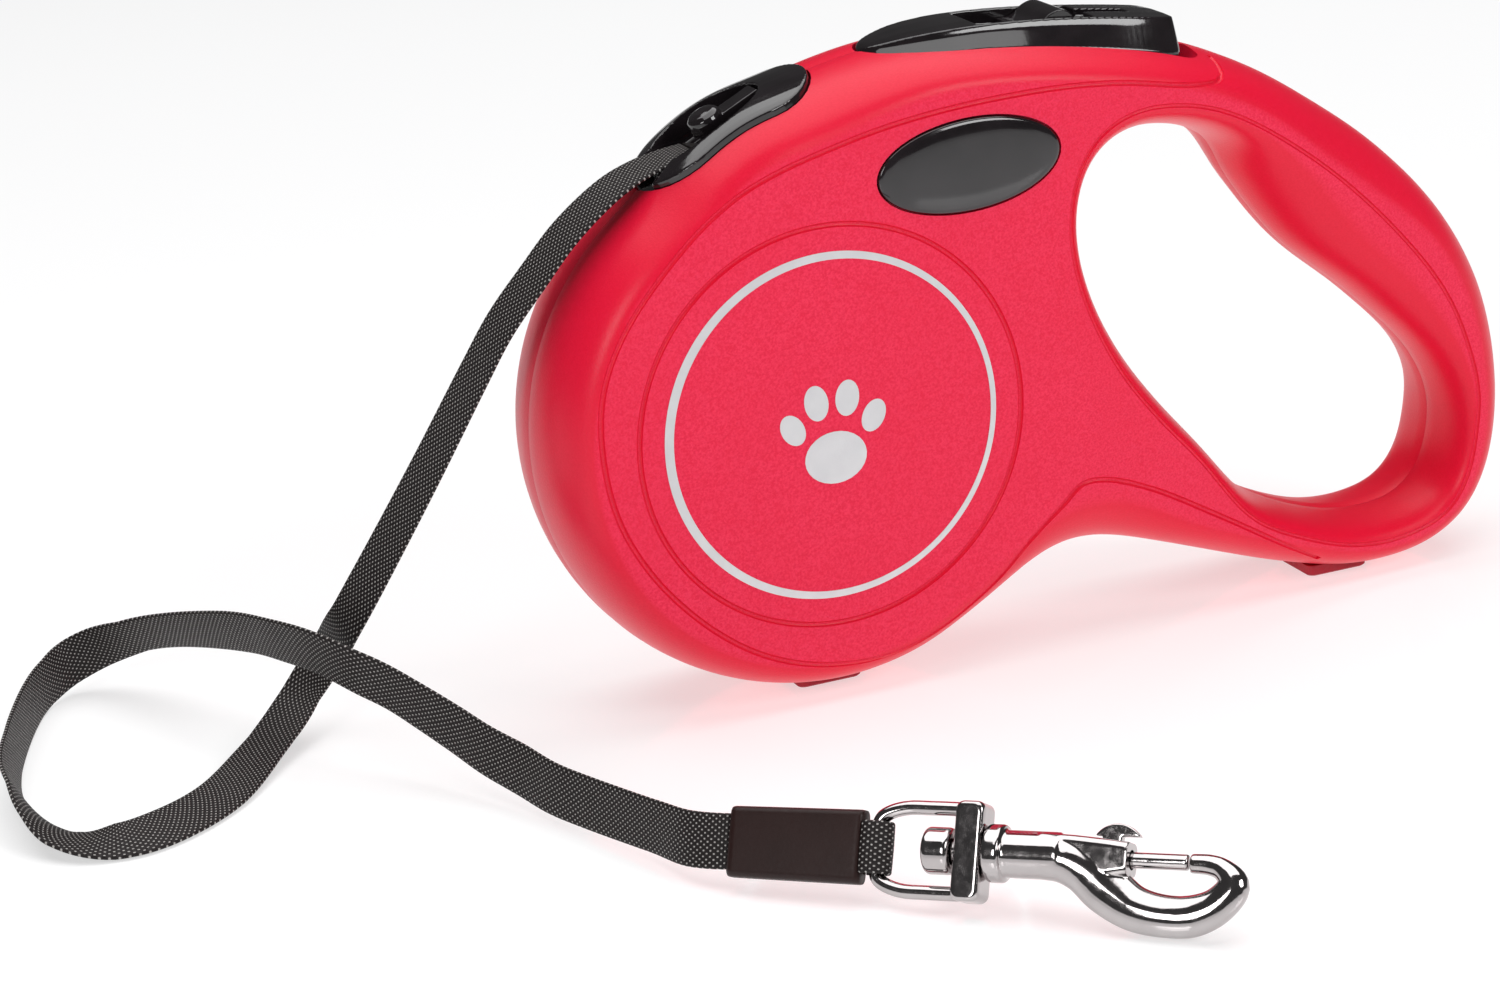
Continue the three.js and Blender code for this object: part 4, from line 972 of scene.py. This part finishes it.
def rear_shell(front):
    """The other moulded half is the front one's mirror image."""
    body = bpy.data.objects.new("coral_rear", front.data.copy())
    bpy.context.scene.collection.objects.link(body)
    body.data.transform(Matrix.Scale(-1, 4, (0, 1, 0)))
    body.data.flip_normals()
    give(body, CORAL, "housing", ("rear_shell",))


def nose():
    """The outlet nose: the rim's own skin a little proud, cut to a stadium, with its oval recess."""
    plug = volume("plug", -90, 90, -0.8, 28)
    combine(plug, on_nose("s", stadium(-16.8, 15.3, 9.8), -8, 9), "INTERSECT")
    cut(plug, on_nose("o", [(-3 + 10.5 * math.cos(a), 6.8 * math.sin(a))
                            for a in np.arange(64) * 2 * math.pi / 64], -4.5, 9))
    gate = TAPE_WIDTH / 2 + NOSE_GATE
    cut(plug, on_nose("c", [(-25, -gate), (-6, -gate), (-6, gate), (-25, gate)], -4, 9))
    cut(plug, on_nose("t", [(-7.5, -gate), (0.5, -gate), (0.5, gate), (-7.5, gate)], -12, 0))
    plug = cast(plug, 0.2, 6)
    plug.name = "nose_guide"
    give(plug, GLOSS, "housing", ("tape_nose",))


def stud():
    """The round-headed bar across the recess."""
    bar = on_nose("bar", [(-2.2, -1.9), (6.9, -1.9), (6.9, 1.9), (-2.2, 1.9)], -2.3, -0.75)
    foot = on_nose("foot", [(1.2, -1.9), (6.9, -1.9), (6.9, 1.9), (1.2, 1.9)], -4.2, -1)
    rings = [[(-2.2 + r * math.cos(a), r * math.sin(a), n) for a in np.arange(40) * 2 * math.pi / 40]
             for r, n in ((2.8, -2.3), (2.9, -1.6), (2.9, -0.5), (2.7, 0.2), (2.1, 0.75), (1.1, 1.0))]
    head = skin("head", rings)
    head.data.transform(nose_frame())
    part = cast(join("stud", [bar, foot, head]), 0.14, 5)
    part.name = "guide_bar"
    give(part, GLOSS, "housing", ("guide_stud",))


def badge(side):
    """A domed oval plate with a rolled edge, left blank."""
    rows = [(1.0, -1.0), (1.0, 0.0), (0.985, 0.22), (0.95, 0.36), (0.88, 0.5), (0.75, 0.66), (0.55, 0.8),
            (0.3, 0.88), (0.05, 0.9)]
    ring = np.array(oval(0)) - (BADGE["x"], BADGE["z"])
    rings = [[(BADGE["x"] + q * x, side * (HALF + y), BADGE["z"] + q * z) for x, z in ring]
             for q, y in rows]
    name = "badge_front" if side < 0 else "badge_rear"
    node = "front_badge" if side < 0 else "rear_badge"
    give(shade(skin(name, rings), 50), GLOSS, "housing", (node,))


def button():
    """The brake button: a bullet nose, sloping flanks, and a recessed deck with a narrow tail slot."""
    rows = spline(BUTTON, step=1.0)
    rings = []
    for x, top, shoulder, base, half in rows:
        upper = 0.7 * half
        near = [(x, -half, base), (x, -half, shoulder), (x, -upper - 0.06 * half, top - 0.12 * half),
                (x, -upper, top), (x, -upper * 0.4, top + 0.12 * min(1, half / 6))]
        rings.append(near + [(x, -y, z) for x, y, z in reversed(near)])
    block = skin("brake_cap", rings)
    deck = prism("deck", [(-6.5, 110), (-6.5, 101.9), (-3, deck_floor(-3)), (13.5, deck_floor(13.5)),
                          (13.5, 110)], -5.6, 5.6)
    cut(block, deck)
    cut(block, prism("tail", [(13, 110), (13, 99.3), (21.5, 98.1), (21.5, 110)], -1.6, 1.6))
    part = cast(block, 0.18, 5)
    post = prism("post", [(-7.5, 74.5), (-4.5, 74.5), (-4.5, 94), (-7.5, 94)], -7.8, -5)
    part = join("brake_cap", [part, bevel(post, 0.3)])
    cut(part, tube("pin_hole", [(-20, -12, 95.3), (-20, 12, 95.3)], 1.5, 24))
    give(shade(part, 50), GLOSS, "button", ("brake_button",))


def slider():
    """The lock slider: a thin plate with a thumb hump."""
    hump = spline([(3.2, deck_floor(3.2) + 1.1), (4.6, 100.7), (6, 101.8), (7.9, 102.3), (9.3, 101.9),
                   (10.4, 100.6), (11.8, deck_floor(11.8) + 1.1)], step=0.4)
    outline = [(1.5, deck_floor(1.5) + 0.3), (1.5, deck_floor(1.5) + 1.1)] + [tuple(p) for p in hump]
    outline += [(13.2, deck_floor(13.2) + 1.1), (13.2, deck_floor(13.2) + 0.3)]
    part = cast(prism("thumb_lock", outline, -5.2, 5.2), 0.12, 5)
    part.name = "thumb_lock"
    give(part, GLOSS, "slider", ("lock_slider",))


def foot_pad(x, name, node):
    outline = rounded_rect(5.5, 6, 1.2)
    rings = [[(x + a * q, b * q, z) for a, b in outline] for z, q in ((0, 0.95), (0.3, 1), (1.8, 1))]
    give(shade(skin(name, rings), 40), RUBBER, "housing", (node,))


def printed(name, loops, side):
    """Thin foil shapes on the side face."""
    bm_parts = []
    for loop in loops:
        y0, y1 = side * (HALF - FOIL_SUNK), side * (HALF + FOIL_LIFT)
        bm_parts.append(prism("foil", loop, y0, y1))
    part = join(name, bm_parts)
    give(shade(part, 30), SILVER, "housing")


def emblem():
    """A plain printed ring and a simple paw print, on both sides."""
    def circle(x, z, a, b, tilt=0.0):
        tilt = math.radians(tilt)
        points = []
        for q in np.arange(28) * 2 * math.pi / 28:
            u, v = a * math.cos(q), b * math.sin(q)
            points.append((x + u * math.cos(tilt) - v * math.sin(tilt),
                           z + u * math.sin(tilt) + v * math.cos(tilt)))
        return points
    cx, cz = DRUM
    paw = [circle(cx, cz - 5, 5.2, 4.2), circle(cx - 6.8, cz + 0.6, 1.9, 2.7, 28),
           circle(cx - 2.6, cz + 4.2, 2.0, 2.9, 8), circle(cx + 2.6, cz + 4.2, 2.0, 2.9, -8),
           circle(cx + 6.8, cz + 0.6, 1.9, 2.7, -28)]
    for side, label in ((-1, "front"), (1, "rear")):
        printed("paw_" + label, paw, side)
        rings = []
        for q in np.arange(160) * 2 * math.pi / 160:
            wide = 0.45 + 0.3 * (0.5 + 0.5 * math.cos(q - 2.9))
            c, s = math.cos(q), math.sin(q)
            y0, y1 = side * (HALF - FOIL_SUNK), side * (HALF + FOIL_LIFT)
            rings.append([(cx + PRINT_R * c + d * c, y, cz + PRINT_R * s + d * s)
                          for d, y in ((-wide, y0), (wide, y0), (wide, y1), (-wide, y1))])
        foil = skin("foil_ring_" + label, rings, wrap=True)
        give(shade(foil, 30), SILVER, "housing")


rear_shell(front_shell())
nose()
stud()
for one_side in (-1, 1):
    badge(one_side)
button()
slider()
foot_pad(DRUM[0], "pad_drum", "drum_foot")
foot_pad(GRIP_FOOT_X, "pad_grip", "grip_foot")
emblem()

# ---- CAD pieces that stay as they are --------------------------------------------------------
KEPT = {"axle": STEEL, "power_spring": STEEL, "spring_cover": NYLON, "spool": NYLON,
        "wound_tape": WEBBING, "brake_pawl": NYLON, "pawl_pin": STEEL, "button_pin": STEEL,
        "button_spring": STEEL, "tape_feed": WEBBING, "bolt_spring": STEEL}
KEPT.update({f"case_screw_{k}": STEEL for k in range(1, 5)})
for node, material in KEPT.items():
    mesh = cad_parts[node].data
    if mesh.materials:
        mesh.materials[0] = material
    else:
        mesh.materials.append(material)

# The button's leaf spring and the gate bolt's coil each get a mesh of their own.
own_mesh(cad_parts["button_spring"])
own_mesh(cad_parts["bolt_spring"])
